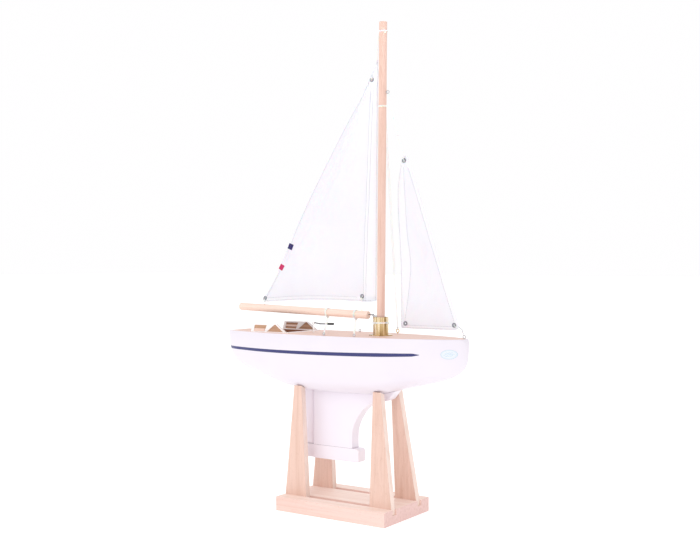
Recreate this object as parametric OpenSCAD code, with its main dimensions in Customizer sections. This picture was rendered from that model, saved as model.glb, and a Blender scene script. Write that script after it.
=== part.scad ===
// Sailing model on a slatted display stand.
// Millimetres. Origin at the centre of the stand's underside.
// +X towards the bow, +Y to port, +Z up.

/* [Hull] */
// Length of the hull, stem to transom
hull_length = 500; // [440:1:560]
// Greatest breadth of the hull
hull_beam = 140; // [128:1:152]
// Depth of the canoe body, deck to bottom
hull_depth = 105; // [96:1:112]
// Thickness of the hull wall
hull_wall = 6; // [5:0.5:8]
// Height of the deck above the table
deck_z = 317.5; // [312:0.5:324]

/* [Keel and rudder] */
// Thickness of the keel fin
fin_thickness = 22; // [18:1:24]
// Height of the ballast block
ballast_height = 24; // [18:1:28]
// Fore and aft length of the rudder blade
rudder_chord = 36; // [28:1:40]

/* [Rig] */
// Diameter of the mast
mast_d = 14; // [12:0.5:15]
// Height of the mast top above the table
mast_top_z = 868; // [840:1:900]
// Forward rake of the mast, degrees
mast_rake = 0.5; // [0:0.1:0.6]
// Diameter of the boom
boom_d = 14; // [11:0.2:14.6]
// Thickness of the sail cloth
sail_thickness = 1; // [0.8:0.1:1.4]

/* [Cockpit] */
// Height of the coamings above the deck
coaming_height = 16; // [13:0.5:17]

/* [Stand] */
// Length of the stand's base board
base_length = 230; // [226:1:260]
// Width of the stand's base board
base_width = 150; // [140:1:180]
// Thickness of the stand's base board
base_height = 25; // [22:1:28]
// Thickness of the legs
leg_thickness = 12; // [10:0.5:13]

/* [Hidden] */
gap = 0.05;              // running clearance on a radius
touch = 0.02;            // clearance between pieces that only touch
bow_x = 233;
stern_x = bow_x - hull_length;
half_beam = hull_beam / 2;
deck_t = 3;
rim = 2.5;
keel_z = deck_z - hull_depth;
sections = 46;
rib_points = 18;
inner_sections = 22;
inner_rib_points = 9;

fin_aft_x = -77;
fin_bottom_z = 113.5;
ballast_z = fin_bottom_z - ballast_height;
rudder_x = -86;
stock_r = 2;
tube_top_z = deck_z - 33.5;
arm_z = deck_z - 31.5;

groove_depth = 10;
leg_out_y = 48;
leg_foot_in_x = 68;
leg_foot_w = 44;
leg_top_w = 15.5;
fwd_lean = 12;
fwd_in_h = 5.4;
fwd_out_h = 9.2;

mast_x = 60.5;
mast_r = mast_d / 2;
socket_r = 13.5;
socket_wall = 1;
socket_h = 32.5;
flange_r = 21;
flange_t = 1.4;

boom_r = boom_d / 2;
boom_axis_x = 45.5;
boom_fore_x = 35;
boom_aft_x = -261;
boom_fore_z = deck_z + 35.2;
boom_aft_z = deck_z + 43.9;
boom_slope = atan2(boom_aft_z - boom_fore_z, boom_fore_x - boom_aft_x);

jib_head_eye = [75, 0, deck_z + 427.1];
jib_bow_eye = [226, 0, deck_z + 4];
cord_r = 0.6;

cockpit_y = 48;
cockpit_aft_x = -196;
cockpit_fore_x = -111;
well_depth = 24;

tray_z = keel_z + 29.5;
tray_t = 3;
servo_x = -10;
arm_len = 14;

$fn = 48;

// ---- hull form -------------------------------------------------------------
// Offsets: fraction of length from the transom, fraction of the half breadth,
// fraction of the depth, fullness of the rib.
offsets = [
    [0.000, 0.36, 0.42, 2.3],
    [0.012, 0.46, 0.53, 2.3],
    [0.030, 0.55, 0.60, 2.4],
    [0.060, 0.64, 0.665, 2.5],
    [0.100, 0.71, 0.72, 2.6],
    [0.190, 0.86, 0.82, 2.8],
    [0.275, 0.94, 0.925, 3.0],
    [0.380, 0.99, 0.985, 3.0],
    [0.500, 1.00, 1.00, 3.0],
    [0.620, 0.97, 0.985, 2.9],
    [0.690, 0.92, 0.95, 2.8],
    [0.770, 0.83, 0.855, 2.6],
    [0.860, 0.66, 0.75, 2.4],
    [0.920, 0.49, 0.67, 2.2],
    [0.960, 0.34, 0.585, 2.1],
    [0.985, 0.20, 0.49, 2.0],
    [0.996, 0.12, 0.39, 2.0],
    [1.000, 0.05, 0.27, 2.0]];

function span_at(t, s, i = 0) =
    (i >= len(t) - 2 || s <= t[i + 1][0]) ? i : span_at(t, s, i + 1);
function tangent(t, c, i) =
    let (a = max(i - 1, 0), b = min(i + 1, len(t) - 1))
    (t[b][c] - t[a][c]) / (t[b][0] - t[a][0]);
function faired(t, c, s) =
    let (i = span_at(t, s), h = t[i + 1][0] - t[i][0], u = (s - t[i][0]) / h,
        p0 = t[i][c], p1 = t[i + 1][c], m0 = tangent(t, c, i) * h,
        m1 = tangent(t, c, i + 1) * h)
    (2 * u * u * u - 3 * u * u + 1) * p0 + (u * u * u - 2 * u * u + u) * m0
        + (3 * u * u - 2 * u * u * u) * p1 + (u * u * u - u * u) * m1;

// stations bunch up towards both ends
function station(i, n) = (1 - cos(180 * i / n)) / 2;
function x_at(s) = stern_x + hull_length * s;
function s_at(x) = (x - stern_x) / hull_length;
function breadth(x) = half_beam * faired(offsets, 1, s_at(x));
function draft(x) = hull_depth * faired(offsets, 2, s_at(x));
function fullness(x) = faired(offsets, 3, s_at(x));
// the sheer drops over the last few millimetres at either end to round the top edge
function sheer(x) = deck_z - 11 * pow(max(0, (x - bow_x + 7) / 7), 3)
    - 4.5 * pow(max(0, (stern_x + 9 - x) / 9), 2.5);
function breadth_slope(x) = (breadth(min(x + 1, bow_x)) - breadth(max(x - 1, stern_x))) / 2;

// one rib from the port sheer round the keel to the starboard sheer
function rib(x, top, half, depth, full, n, tuck) = [
    for (j = [-n : n])
    let (u = abs(j) / n, a = 90 * u * u * (3 - 2 * u), e = 2 / full,
        side = j < 0 ? 1 : -1, edge = pow(max(0, abs(j) - n + 3), 2) * tuck)
    [x, side * (half * pow(sin(a), e) - edge), top - depth * pow(cos(a), e)]];

// skin between two neighbouring ribs, their top edge, and the two end walls
function skin(i, n) = [
    for (j = [0 : 2 * n - 1])
    let (w = 2 * n + 1, a = i * w + j, b = a + w)
    each [[a, a + 1, b], [a + 1, b + 1, b]]];
function top_edge(i, n) =
    let (w = 2 * n + 1, a = i * w, b = a + w)
    [[a, b, a + w - 1], [a + w - 1, b, b + w - 1]];
function wall_pair(p, q, r, s) = [[p, q, s], [q, r, s]];
function end_wall(first, n, fore) = [
    for (j = [0 : n - 2])
    let (a = first + j, b = first + 2 * n - j)
    each fore ? wall_pair(a, a + 1, b - 1, b) : wall_pair(b, b - 1, a + 1, a),
    fore ? [first + n - 1, first + n, first + n + 1]
        : [first + n + 1, first + n, first + n - 1]];

module rib_solid(ribs, n) {
    last = len(ribs) - 1;
    polyhedron(
        points = [for (r = ribs) each r],
        faces = concat(
            [for (i = [0 : last - 1]) each concat(skin(i, n), top_edge(i, n))],
            end_wall(0, n, false),
            end_wall(last * (2 * n + 1), n, true)),
        convexity = 6);
}

module hull_form() {
    n = rib_points;
    rib_solid([
        for (i = [0 : sections])
        let (x = x_at(station(i, sections)))
        rib(x, sheer(x), breadth(x), draft(x) - deck_z + sheer(x), fullness(x), n, 0.18)], n);
}

module hull_hollow() {
    n = inner_rib_points;
    aft = stern_x + 1.6 * hull_wall;
    fore = bow_x - 3 * hull_wall;
    rib_solid([
        for (i = [0 : inner_sections])
        let (x = aft + (fore - aft) * station(i, inner_sections))
        rib(x, deck_z + 1, max(2, breadth(x) - hull_wall),
            draft(x) - 1.4 * hull_wall, fullness(x), n, 0)], n);
}

// plan outline, set in from the sheer, its fore end rounded off
function outline(inset, n) =
    let (aft = stern_x + 7 + 0.7 * inset, fore = bow_x - 3.4 - 0.8 * inset, nose = 9,
        half = [for (i = [0 : n])
            let (x = aft + (fore - aft) * station(i, n),
                inner = breadth(x) - inset * sqrt(1 + pow(breadth_slope(x), 2)),
                u = max(0, (x - fore + nose) / nose))
            [x, max(0.5, inner * sqrt(1 - 0.98 * u * u))]])
    concat([for (p = half) [p[0], -p[1]]], [for (i = [n : -1 : 0]) half[i]]);

module hull_shell() {
    color([0.95, 0.95, 0.95])
    difference() {
        hull_form();
        hull_hollow();
        translate([0, 0, deck_z - deck_t]) linear_extrude(deck_t + 2)
            polygon(outline(rim, 40));
        translate([rudder_x, 0, keel_z - 20]) cylinder(r = stock_r + 1.6, h = 40);
        for (x = bolt_xs) translate([x, 0, keel_z - 10]) cylinder(r = 2 + gap, h = 40);
    }
}

// ---- shared shapes ---------------------------------------------------------
// straight round bar between two points
module rod(a, b, r) {
    d = b - a;
    length = norm(d);
    translate(a) rotate([0, acos(d[2] / length), atan2(d[1], d[0])])
        cylinder(r = r, h = length);
}

// ring lying flat, its wire of radius wire
module ring(radius, wire) {
    rotate_extrude() translate([radius, 0]) circle(r = wire, $fn = 16);
}

// screw eye standing on its shank, eye across the Y axis
module screw_eye(radius, wire, stem, thread) {
    translate([0, 0, stem + radius]) rotate([90, 0, 0]) ring(radius, wire);
    translate([0, 0, -thread]) cylinder(r = wire, h = stem + thread);
}

module xz_plate(points, thickness) {
    rotate([90, 0, 0]) linear_extrude(thickness, center = true) polygon(points);
}

module mirrored_y() {
    children();
    mirror([0, 1, 0]) children();
}

// ---- stand -----------------------------------------------------------------
module stand_base() {
    color([0.87, 0.74, 0.60])
    difference() {
        translate([-base_length / 2, -base_width / 2, 0])
            cube([base_length, base_width, base_height]);
        for (side = [-1, 1])
            translate([0, side * (leg_out_y - leg_thickness / 2),
                base_height - groove_depth / 2 + 1])
                cube([2 * base_length, leg_thickness + 2 * gap, groove_depth + 2],
                    center = true);
    }
}

// four corners of a leg at one height: out is its outer face
function leg_ring(x0, x1, out, z_in, z_out) = [
    [x0, out - leg_thickness, z_in], [x1, out - leg_thickness, z_in],
    [x1, out, z_out], [x0, out, z_out]];

// leg on the port side, from three rings, foot first
module leg(rings) {
    sides = [for (i = [0, 4]) for (j = [0 : 3])
        let (a = i + j, b = i + (j + 1) % 4)
        each [[a, a + 4, b], [b, a + 4, b + 4]]];
    color([0.88, 0.76, 0.62])
    polyhedron(
        points = [for (r = rings) each r],
        faces = concat(sides, [[0, 1, 2], [0, 2, 3], [8, 10, 9], [8, 11, 10]]));
}

module fwd_leg() {
    foot = leg_foot_in_x + leg_foot_w;
    leg([leg_ring(leg_foot_in_x, foot, leg_out_y, base_height - groove_depth + touch,
            base_height - groove_depth + touch),
        leg_ring(leg_foot_in_x, foot, leg_out_y, base_height, base_height),
        leg_ring(leg_foot_in_x - 0.8, leg_foot_in_x - 0.8 + leg_top_w,
            leg_out_y - fwd_lean, keel_z + fwd_in_h, keel_z + fwd_out_h)]);
}

module aft_leg() {
    foot = leg_foot_in_x + leg_foot_w + 2;
    top = leg_foot_in_x + 10.5;
    leg([leg_ring(-foot, -leg_foot_in_x, leg_out_y, base_height - groove_depth + touch,
            base_height - groove_depth + touch),
        leg_ring(-foot, -leg_foot_in_x, leg_out_y, base_height, base_height),
        leg_ring(-top - leg_top_w, -top, leg_out_y, keel_z + 6.8, keel_z + 11.6)]);
}

module leg_fwd_port() { fwd_leg(); }
module leg_fwd_starboard() { mirror([0, 1, 0]) fwd_leg(); }
module leg_aft_port() { aft_leg(); }
module leg_aft_starboard() { mirror([0, 1, 0]) aft_leg(); }

// ---- deck ------------------------------------------------------------------
module deck() {
    color([0.93, 0.80, 0.68])
    difference() {
        translate([0, 0, deck_z - deck_t + touch]) linear_extrude(deck_t - touch)
            polygon(outline(rim + touch, 40));
        translate([cockpit_aft_x, -cockpit_y + 3, deck_z - 10])
            cube([cockpit_fore_x - cockpit_aft_x, 2 * cockpit_y - 6, 20]);
        translate([rudder_x, 0, deck_z - 10]) cylinder(r = stock_r + 0.4, h = 20);
    }
}

module deck_beams() {
    beam_h = 8;
    color([0.80, 0.66, 0.48])
    for (x = [-104, 22, 150]) {
        half = min(breadth(x - 4), breadth(x + 4)) - hull_wall - 0.4;
        translate([x - 4, -half, deck_z - deck_t - beam_h])
            cube([8, 2 * half, beam_h]);
    }
}

// ---- keel ------------------------------------------------------------------
bolt_xs = [-50, -8];
// leading edge of the fin: height, distance forward
fin_edge = [[113.5, 6.5], [140, 7], [155, 10.5], [170, 18], [185, 30], [196, 44],
    [201.5, 60]];

function bottom_z(x) = deck_z - draft(x) - touch;
fin_root_x = [for (i = [0 : sections])
    let (x = x_at(station(i, sections))) if (x > fin_aft_x + 1 && x < 94) x];

module keel_fin() {
    lift = keel_z - 212.5;
    edge = [for (i = [1 : 22]) let (z = fin_bottom_z + 88 * i / 22)
        [faired(fin_edge, 1, z), z + lift * i / 22]];
    root = [for (x = fin_root_x) [x, bottom_z(x)]];
    color([0.95, 0.95, 0.96])
    difference() {
        xz_plate(concat([[fin_aft_x, fin_bottom_z + touch]], [[6.5, fin_bottom_z + touch]],
            edge, [[76, 203 + lift], [84, 207 + lift], [96, bottom_z(96)]],
            [for (i = [len(root) - 1 : -1 : 0]) root[i]],
            [[fin_aft_x, bottom_z(fin_aft_x)]]), fin_thickness);
        for (x = bolt_xs) translate([x, 0, fin_bottom_z - 1])
            cylinder(r = 2 + gap, h = hull_depth + 40);
    }
}

module keel_ballast() {
    nose = 5;
    fore = 20.5;
    color([0.94, 0.94, 0.96])
    difference() {
        xz_plate(concat(
            [[fin_aft_x, fin_bottom_z], [fin_aft_x, ballast_z]],
            [for (a = [-90 : 15 : 0]) [fore - 3 + 3 * cos(a), ballast_z + 3 + 3 * sin(a)]],
            [for (a = [0 : 15 : 90])
                [fore - nose + nose * cos(a), fin_bottom_z - nose + nose * sin(a)]]),
            fin_thickness);
        for (x = bolt_xs) translate([x, 0, fin_bottom_z - 16])
            cylinder(r = 2 + gap, h = 30);
    }
}

module keel_bolts() {
    color([0.70, 0.71, 0.73])
    for (x = bolt_xs) {
        floor_z = deck_z - draft(x) + 1.4 * hull_wall + 1.2;
        translate([x, 0, fin_bottom_z - 15]) cylinder(r = 2, h = floor_z + 21 - fin_bottom_z);
        translate([x, 0, floor_z]) cylinder(r = 5, h = 1);
        translate([x, 0, floor_z + 1]) cylinder(r = 4, h = 3, $fn = 6);
    }
}

module rudder_tube() {
    foot = deck_z - draft(rudder_x) - 1;
    color([0.80, 0.62, 0.28])
    translate([rudder_x, 0, foot]) difference() {
        cylinder(r = stock_r + 1.6 - touch, h = tube_top_z - foot);
        translate([0, 0, -1]) cylinder(r = stock_r + gap, h = tube_top_z - foot + 2);
    }
}

module rudder_shoe() {
    color([0.93, 0.93, 0.95])
    difference() {
        translate([fin_aft_x - 21, -7, ballast_z])
            cube([21 - touch, 14, ballast_height - touch]);
        translate([rudder_x, 0, fin_bottom_z - 12]) cylinder(r = stock_r + gap, h = 20);
    }
}

module rudder_blade() {
    top = deck_z - draft(rudder_x + 6) - 1.6;
    foot = fin_bottom_z + 0.8;
    color([0.94, 0.94, 0.95])
    difference() {
        translate([rudder_x, 0, foot]) union() {
            cylinder(r = 6, h = top - foot);
            translate([-rudder_chord + 6, 0, 0]) linear_extrude(top - foot)
                polygon([[0, -1.5], [rudder_chord - 6, -6], [rudder_chord - 6, 6], [0, 1.5]]);
        }
        translate([rudder_x, 0, foot - 1]) cylinder(r = stock_r + touch, h = top - foot + 2);
    }
}

module rudder_stock() {
    foot = fin_bottom_z - 11;
    color([0.78, 0.78, 0.80])
    translate([rudder_x, 0, foot]) cylinder(r = stock_r, h = deck_z + 18.2 - foot);
}

// arm inside the hull, pointing to port, with a pin for the pushrod
module rudder_arm() {
    color([0.78, 0.60, 0.28])
    translate([rudder_x, 0, arm_z]) {
        difference() {
            union() {
                cylinder(r = 5, h = 4);
                translate([-3, 0, 0]) cube([6, arm_len, 2.4]);
                translate([0, arm_len, 0]) cylinder(r = 3, h = 2.4);
            }
            translate([0, 0, -1]) cylinder(r = stock_r + touch, h = 8);
        }
        translate([0, arm_len, 2.4]) cylinder(r = 1, h = 4);
    }
}

// bent wire arm above the deck
module tiller() {
    wire = 1.1;
    hub_z = deck_z + 15.5;
    bend = [rudder_x + 15, 0, deck_z + 16.2];
    color([0.35, 0.35, 0.37]) {
        translate([rudder_x, 0, hub_z]) difference() {
            cylinder(r = 3, h = 4);
            translate([0, 0, -1]) cylinder(r = stock_r + touch, h = 3.8);
        }
        rod([rudder_x + 2.4, 0, hub_z + 2.4], bend, wire);
        rod(bend, bend + [18, 0, 0.4], wire);
        translate(bend) sphere(r = wire + 0.15, $fn = 24);
    }
}

module tiller_grip() {
    start = [rudder_x + 32, 0, deck_z + 16.55];
    color([0.05, 0.05, 0.06])
    difference() {
        rod(start, start + [13, 0, 0.3], 1.9);
        rod(start - [1, 0, 0], start + [1.3, 0, 0.02], 1.1 + gap);
    }
}

// ---- mast and fittings -----------------------------------------------------
mast_foot_z = deck_z + flange_t + 0.1;
function mast_x_at(z) = mast_x + (z - mast_foot_z) * tan(mast_rake);

module mast() {
    color([0.86, 0.68, 0.52])
    translate([mast_x, 0, mast_foot_z]) rotate([0, mast_rake, 0])
        cylinder(r = mast_r, h = mast_top_z - mast_foot_z);
}

module mast_socket() {
    color([0.83, 0.63, 0.22])
    translate([mast_x, 0, deck_z]) rotate_extrude($fn = 96)
        polygon([[0, 0], [flange_r, 0], [flange_r, flange_t], [socket_r, flange_t],
            [socket_r, socket_h], [socket_r - socket_wall, socket_h],
            [socket_r - socket_wall, flange_t], [0, flange_t]]);
}

module mast_bush() {
    color([0.72, 0.52, 0.36])
    translate([mast_x, 0, deck_z + flange_t + touch]) difference() {
        cylinder(r = socket_r - socket_wall - touch, h = 24);
        translate([0, 0, -1]) cylinder(r = mast_r + 0.35, h = 30);
    }
}

module mast_step_block() {
    color([0.78, 0.63, 0.45])
    translate([mast_x - 20, -20, deck_z - deck_t - 14]) cube([40, 40, 14]);
}

module socket_cord() {
    color([0.96, 0.95, 0.93])
    for (i = [0, 1]) translate([mast_x, 0, deck_z + 21.5 + 1.5 * i])
        ring(socket_r + 0.7 + touch, 0.7);
}

module mast_wraps() {
    color([0.95, 0.94, 0.92])
    translate([mast_x, 0, mast_foot_z]) rotate([0, mast_rake, 0])
        for (h = [400.5, 402, 531.5, 533])
            translate([0, 0, h]) ring(mast_r + 0.7 + touch, 0.7);
}

module mast_eye() {
    z = jib_head_eye[2];
    face = mast_x_at(z) + mast_r;
    color([0.62, 0.63, 0.65])
    translate([face, 0, z]) rotate([0, 90, 0])
        screw_eye(2.6, 0.8, jib_head_eye[0] - face - 2.6, 6);
}

module gooseneck_eye() {
    z = deck_z + socket_h + 1.7;
    face = mast_x_at(z) - mast_r;
    color([0.55, 0.56, 0.58]) {
        translate([boom_axis_x, 0, z]) ring(2.8, 0.8);
        rod([boom_axis_x + 2.8, 0, z], [face + 4, 0, z], 0.8);
    }
}

module bow_eye() {
    color([0.62, 0.63, 0.65])
    translate([jib_bow_eye[0], 0, deck_z]) screw_eye(2.6, 0.8, 1.4, 2.6);
}

starboard_eyes = [[-20, -60], [44, -60]];
port_eyes = [[-22, 58], [60, 58]];

module deck_eyes() {
    color([0.50, 0.50, 0.52])
    for (p = concat(starboard_eyes, [port_eyes[0]]))
        translate([p[0], p[1], deck_z]) screw_eye(2.2, 0.7, 1, 2.6);
}

module deck_ring() {
    color([0.50, 0.50, 0.52])
    translate([port_eyes[1][0], port_eyes[1][1], deck_z])
        screw_eye(3, 0.8, 2, 2.6);
}

// twin stays from the upper wrap to the port ring
module mast_stays() {
    foot = [port_eyes[1][0], port_eyes[1][1], deck_z + 9.4];
    top_z = mast_foot_z + 398;
    color([0.93, 0.92, 0.90])
    for (dx = [-1.6, 1.6])
        rod(foot + [dx * 0.5, 0, 0], [mast_x_at(top_z) + dx, mast_r + 0.8, top_z], cord_r);
}

// cords that lead from the deck eyes up to just below the boom
boom_cord_xs = [-54, 8];
function boom_z_at(x) = boom_fore_z + (boom_fore_x - x) * tan(boom_slope);
module sheet_cords() {
    color([0.94, 0.93, 0.91])
    for (i = [0, 1]) {
        foot = [starboard_eyes[i][0], starboard_eyes[i][1], deck_z + 7.4];
        head = [boom_cord_xs[i], 0, boom_z_at(boom_cord_xs[i]) - boom_r - 2];
        cut = foot + (head - foot) * 0.45;
        rod(foot, cut, cord_r);
    }
}

// ---- cockpit ---------------------------------------------------------------
cockpit_len = cockpit_fore_x - cockpit_aft_x;

module cockpit_tub() {
    wall = 2;
    inner_y = cockpit_y - 3 - touch;
    color([0.52, 0.33, 0.25])
    difference() {
        translate([cockpit_aft_x + touch, -inner_y, deck_z - well_depth])
            cube([cockpit_len - 2 * touch, 2 * inner_y, well_depth]);
        translate([cockpit_aft_x + wall, -inner_y + wall, deck_z - well_depth + wall])
            cube([cockpit_len - 2 * wall, 2 * (inner_y - wall), well_depth]);
    }
}

// side profile of a coaming: raked at the front, sloped at the back
top_z = deck_z + coaming_height;
board_t = 1.6;
function coaming_outline(in) = [
    [cockpit_aft_x + 2 + 2 * in, deck_z + in], [cockpit_fore_x - 2.2 * in, deck_z + in],
    [cockpit_fore_x - 23 - 1.6 * in, top_z - in], [cockpit_aft_x + 7 + 1.4 * in, top_z - in]];

module coaming_board() {
    translate([0, cockpit_y, 0]) xz_plate(coaming_outline(0.6), board_t);
}
module coaming_port() {
    color([0.55, 0.33, 0.24]) coaming_board();
}
module coaming_starboard() {
    color([0.55, 0.33, 0.24]) mirror([0, 1, 0]) coaming_board();
}

// white frame on both faces of a board: rail, sill, slanted pillar, raked front
module coaming_frame() {
    frame_t = 1.2;
    pillar_x = cockpit_aft_x + 37;
    bar = 3.2;
    for (side = [-1, 1])
        translate([0, cockpit_y + side * (board_t / 2 + frame_t / 2 + touch), 0])
            difference() {
                xz_plate(coaming_outline(0), frame_t);
                xz_plate([
                    [cockpit_aft_x + 9, deck_z + 1.6], [pillar_x - 2.6, deck_z + 1.6],
                    [pillar_x + 3, top_z - 2.6], [cockpit_aft_x + 11, top_z - 2.6]],
                    frame_t * 2);
                xz_plate([
                    [pillar_x + 2.8, deck_z + 1.6], [cockpit_fore_x - 7.5, deck_z + 1.6],
                    [cockpit_fore_x - 24.5, top_z - 1.4], [cockpit_fore_x - 27.5, top_z - 1.4]],
                    frame_t * 2);
            }
}
module coaming_trim_port() {
    color([0.95, 0.94, 0.94]) coaming_frame();
}
module coaming_trim_starboard() {
    color([0.95, 0.94, 0.94]) mirror([0, 1, 0]) coaming_frame();
}

// natural wood strips in the rear window: low outside, high inside
module cockpit_ledges() {
    aft = cockpit_aft_x + 9.6;
    fore = cockpit_aft_x + 34;
    color([0.93, 0.76, 0.60])
    mirrored_y() {
        translate([0, cockpit_y + board_t / 2 + touch + 0.7, 0])
            xz_plate([[aft, deck_z + 1.8], [fore, deck_z + 1.8], [fore + 2, deck_z + 6.8],
                [aft + 1.2, deck_z + 6.8]], 1.4);
        translate([0, cockpit_y - board_t / 2 - touch - 0.7, 0])
            xz_plate([[aft + 1.1, deck_z + 5.8], [fore + 1.6, deck_z + 5.8],
                [fore + 3, deck_z + 9.2], [aft + 1.8, deck_z + 9.2]], 1.4);
    }
}

module cockpit_sill() {
    color([0.95, 0.94, 0.94])
    translate([cockpit_fore_x + 0.2, -cockpit_y - 2, deck_z])
        cube([3, 2 * cockpit_y + 4, 1.8]);
}

// ---- radio gear ------------------------------------------------------------
servo = [40, 20, 38];
lug_t = 2.4;
gear_z = tray_z + tray_t;
sail_servo_pos = [14, -27];

module gear_tray() {
    color([0.85, 0.72, 0.55])
    translate([-66, -40, tray_z]) cube([120, 80, tray_t]);
}

module tray_bearers() {
    color([0.78, 0.64, 0.46])
    for (x = [-36, 34]) translate([x - 2, 0, 0]) rotate([90, 0, 90]) linear_extrude(4)
        polygon([[-28, keel_z + 14.8], [-14, keel_z + 12], [14, keel_z + 12],
            [28, keel_z + 14.8], [28, tray_z - touch], [-28, tray_z - touch]]);
}

// origin of a servo: foot of its output shaft
module servo_body(x, y) {
    translate([x - 10, y - servo[1] / 2, gear_z]) {
        cube(servo);
        translate([-7, 0, 0]) cube([servo[0] + 14, servo[1], lug_t]);
        translate([10, servo[1] / 2, servo[2]]) cylinder(r = 6, h = 2);
        translate([10, servo[1] / 2, servo[2] + 2]) cylinder(r = 3, h = 6);
    }
}

module horn(length) {
    difference() {
        union() {
            cylinder(r = 6, h = 3.6);
            translate([-3.5, 0, 0]) cube([7, length, 2.4]);
            translate([0, length, 0]) cylinder(r = 3.5, h = 2.4);
        }
        translate([0, 0, -1]) cylinder(r = 3 + gap, h = 6);
    }
    translate([0, length, 2.4]) cylinder(r = 1, h = 4);
}

module rudder_servo() { color([0.10, 0.10, 0.11]) servo_body(servo_x, 0); }
module sail_servo() {
    color([0.11, 0.11, 0.12]) servo_body(sail_servo_pos[0], sail_servo_pos[1]);
}
module rudder_servo_horn() {
    color([0.93, 0.93, 0.93]) translate([servo_x, 0, arm_z]) horn(arm_len);
}
module sail_servo_arm() {
    color([0.93, 0.93, 0.93])
    translate([sail_servo_pos[0], sail_servo_pos[1], arm_z]) mirror([0, 1, 0]) horn(24);
}

// eyes at both ends drop over the pins of the arm and the horn
module rudder_pushrod() {
    z = arm_z + 3.2;
    eye_h = 2.4;
    color([0.66, 0.67, 0.70])
    difference() {
        union() {
            for (x = [rudder_x, servo_x])
                translate([x, arm_len, z]) cylinder(r = 2.6, h = eye_h);
            rod([rudder_x + 2, arm_len, z + eye_h / 2],
                [servo_x - 2, arm_len, z + eye_h / 2], 0.9);
        }
        for (x = [rudder_x, servo_x])
            translate([x, arm_len, z - 1]) cylinder(r = 1 + gap, h = eye_h + 2);
    }
}

module receiver() {
    color([0.14, 0.15, 0.18])
    translate([-62, -34, gear_z]) cube([32, 22, 13]);
}

module battery_pack() {
    cell_r = 7;
    color([0.15, 0.30, 0.55])
    for (i = [0, 1]) translate([-62, 18.5 + 2 * cell_r * i + 0.1 * i, gear_z + cell_r])
        rotate([0, 90, 0]) cylinder(r = cell_r, h = 50);
}

module gear_screws() {
    color([0.72, 0.73, 0.75])
    for (c = [[servo_x, 0], sail_servo_pos], dx = [-13.5, 33.5], dy = [-5, 5])
        translate([c[0] + dx, c[1] + dy, gear_z + lug_t]) cylinder(r = 2.2, h = 1.6);
}

// ---- boom ------------------------------------------------------------------
module along_boom() {
    translate([boom_fore_x, 0, boom_fore_z]) rotate([0, boom_slope, 0]) children();
}
boom_len = (boom_fore_x - boom_aft_x) / cos(boom_slope);

module boom() {
    color([0.87, 0.69, 0.53])
    along_boom() rotate([0, -90, 0]) rotate_extrude()
        polygon(concat([[0, 0], [boom_r - 0.6, 0], [boom_r, 0.6]],
            [for (a = [0 : 15 : 90])
                [boom_r - 3.5 + 3.5 * cos(a), boom_len - 3.5 + 3.5 * sin(a)]],
            [[0, boom_len]]));
}

module boom_hook() {
    wire = 0.8;
    z = boom_fore_z + 1;
    color([0.50, 0.51, 0.53]) {
        rod([boom_fore_x - 6, 0, z], [boom_axis_x, 0, z], wire);
        translate([boom_axis_x, 0, z]) sphere(r = wire + 0.2, $fn = 24);
        rod([boom_axis_x, 0, z], [boom_axis_x, 0, deck_z + socket_h - 3], wire);
    }
}

module boom_wraps() {
    color([0.95, 0.94, 0.92])
    along_boom() for (x = concat([boom_cord_xs[0] - 1.6, boom_cord_xs[0] + 1.6],
            [boom_cord_xs[1] - 0.8, boom_cord_xs[1] + 0.8]))
        translate([x - boom_fore_x, 0, 0]) rotate([0, 90, 0])
            ring(boom_r + 0.7 + touch, 0.7);
}

// ---- sails -----------------------------------------------------------------
// corners and eyelets: distance forward, height above the deck
mainsail_corners = [[51.9, 60.5], [55.4, 487], [53.2, 487], [33, 450], [-15, 374],
    [-62, 298], [-96, 242], [-126, 188], [-153, 136], [-184, 87], [-206.5, 60],
    [-206, 54.5], [-195, 52.5], [-125, 57.6], [-44, 59.4], [14, 58],
    [33, 57]];
mainsail_eyes = [[42, 451.5], [21.5, 68.3], [-199.5, 60.8]];
jib_corners = [[103.5, 314], [115, 314], [137, 252], [195.5, 82], [213, 31], [215, 20],
    [210, 14.5], [160, 13.6], [105, 13.8], [100.5, 18], [96, 124.5], [90, 228.5],
    [91.5, 272]];
jib_eyes = [[108.3, 305.5], [207, 22.9], [111.5, 22.9]];

module sail(corners, eyes) {
    difference() {
        xz_plate(corners, sail_thickness);
        for (p = eyes)
            translate([p[0], 0, p[1]]) rotate([90, 0, 0])
                cylinder(r = 2.2, h = 4, center = true);
    }
}

module eyelets(eyes) {
    half = sail_thickness / 2 + touch;
    for (p = eyes)
        translate([p[0], 0, p[1]]) rotate([90, 0, 0]) rotate_extrude($fn = 32)
            polygon([[1.5, -half - 0.5], [4, -half - 0.5], [4, -half], [2.2 - touch, -half],
                [2.2 - touch, half], [4, half], [4, half + 0.5], [1.5, half + 0.5]]);
}

module mainsail() {
    color([0.96, 0.96, 0.97]) translate([0, 0, deck_z]) sail(mainsail_corners, mainsail_eyes);
}
module mainsail_eyelets() {
    color([0.45, 0.45, 0.48]) translate([0, 0, deck_z]) eyelets(mainsail_eyes);
}
module jib() {
    color([0.96, 0.96, 0.97]) translate([0, 0, deck_z]) sail(jib_corners, jib_eyes);
}
module jib_eyelets() {
    color([0.45, 0.45, 0.48]) translate([0, 0, deck_z]) eyelets(jib_eyes);
}

// cord legs from the clew and tack eyelets down to the boom
module mainsail_ties() {
    color([0.95, 0.94, 0.92])
    for (p = [mainsail_eyes[1], mainsail_eyes[2]], side = [-1, 1])
        rod([p[0], side * 2, deck_z + p[1] - 1.5],
            [p[0] - 1.6, side * 1.5, boom_z_at(p[0]) + boom_r + 0.8], cord_r);
}

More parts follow.
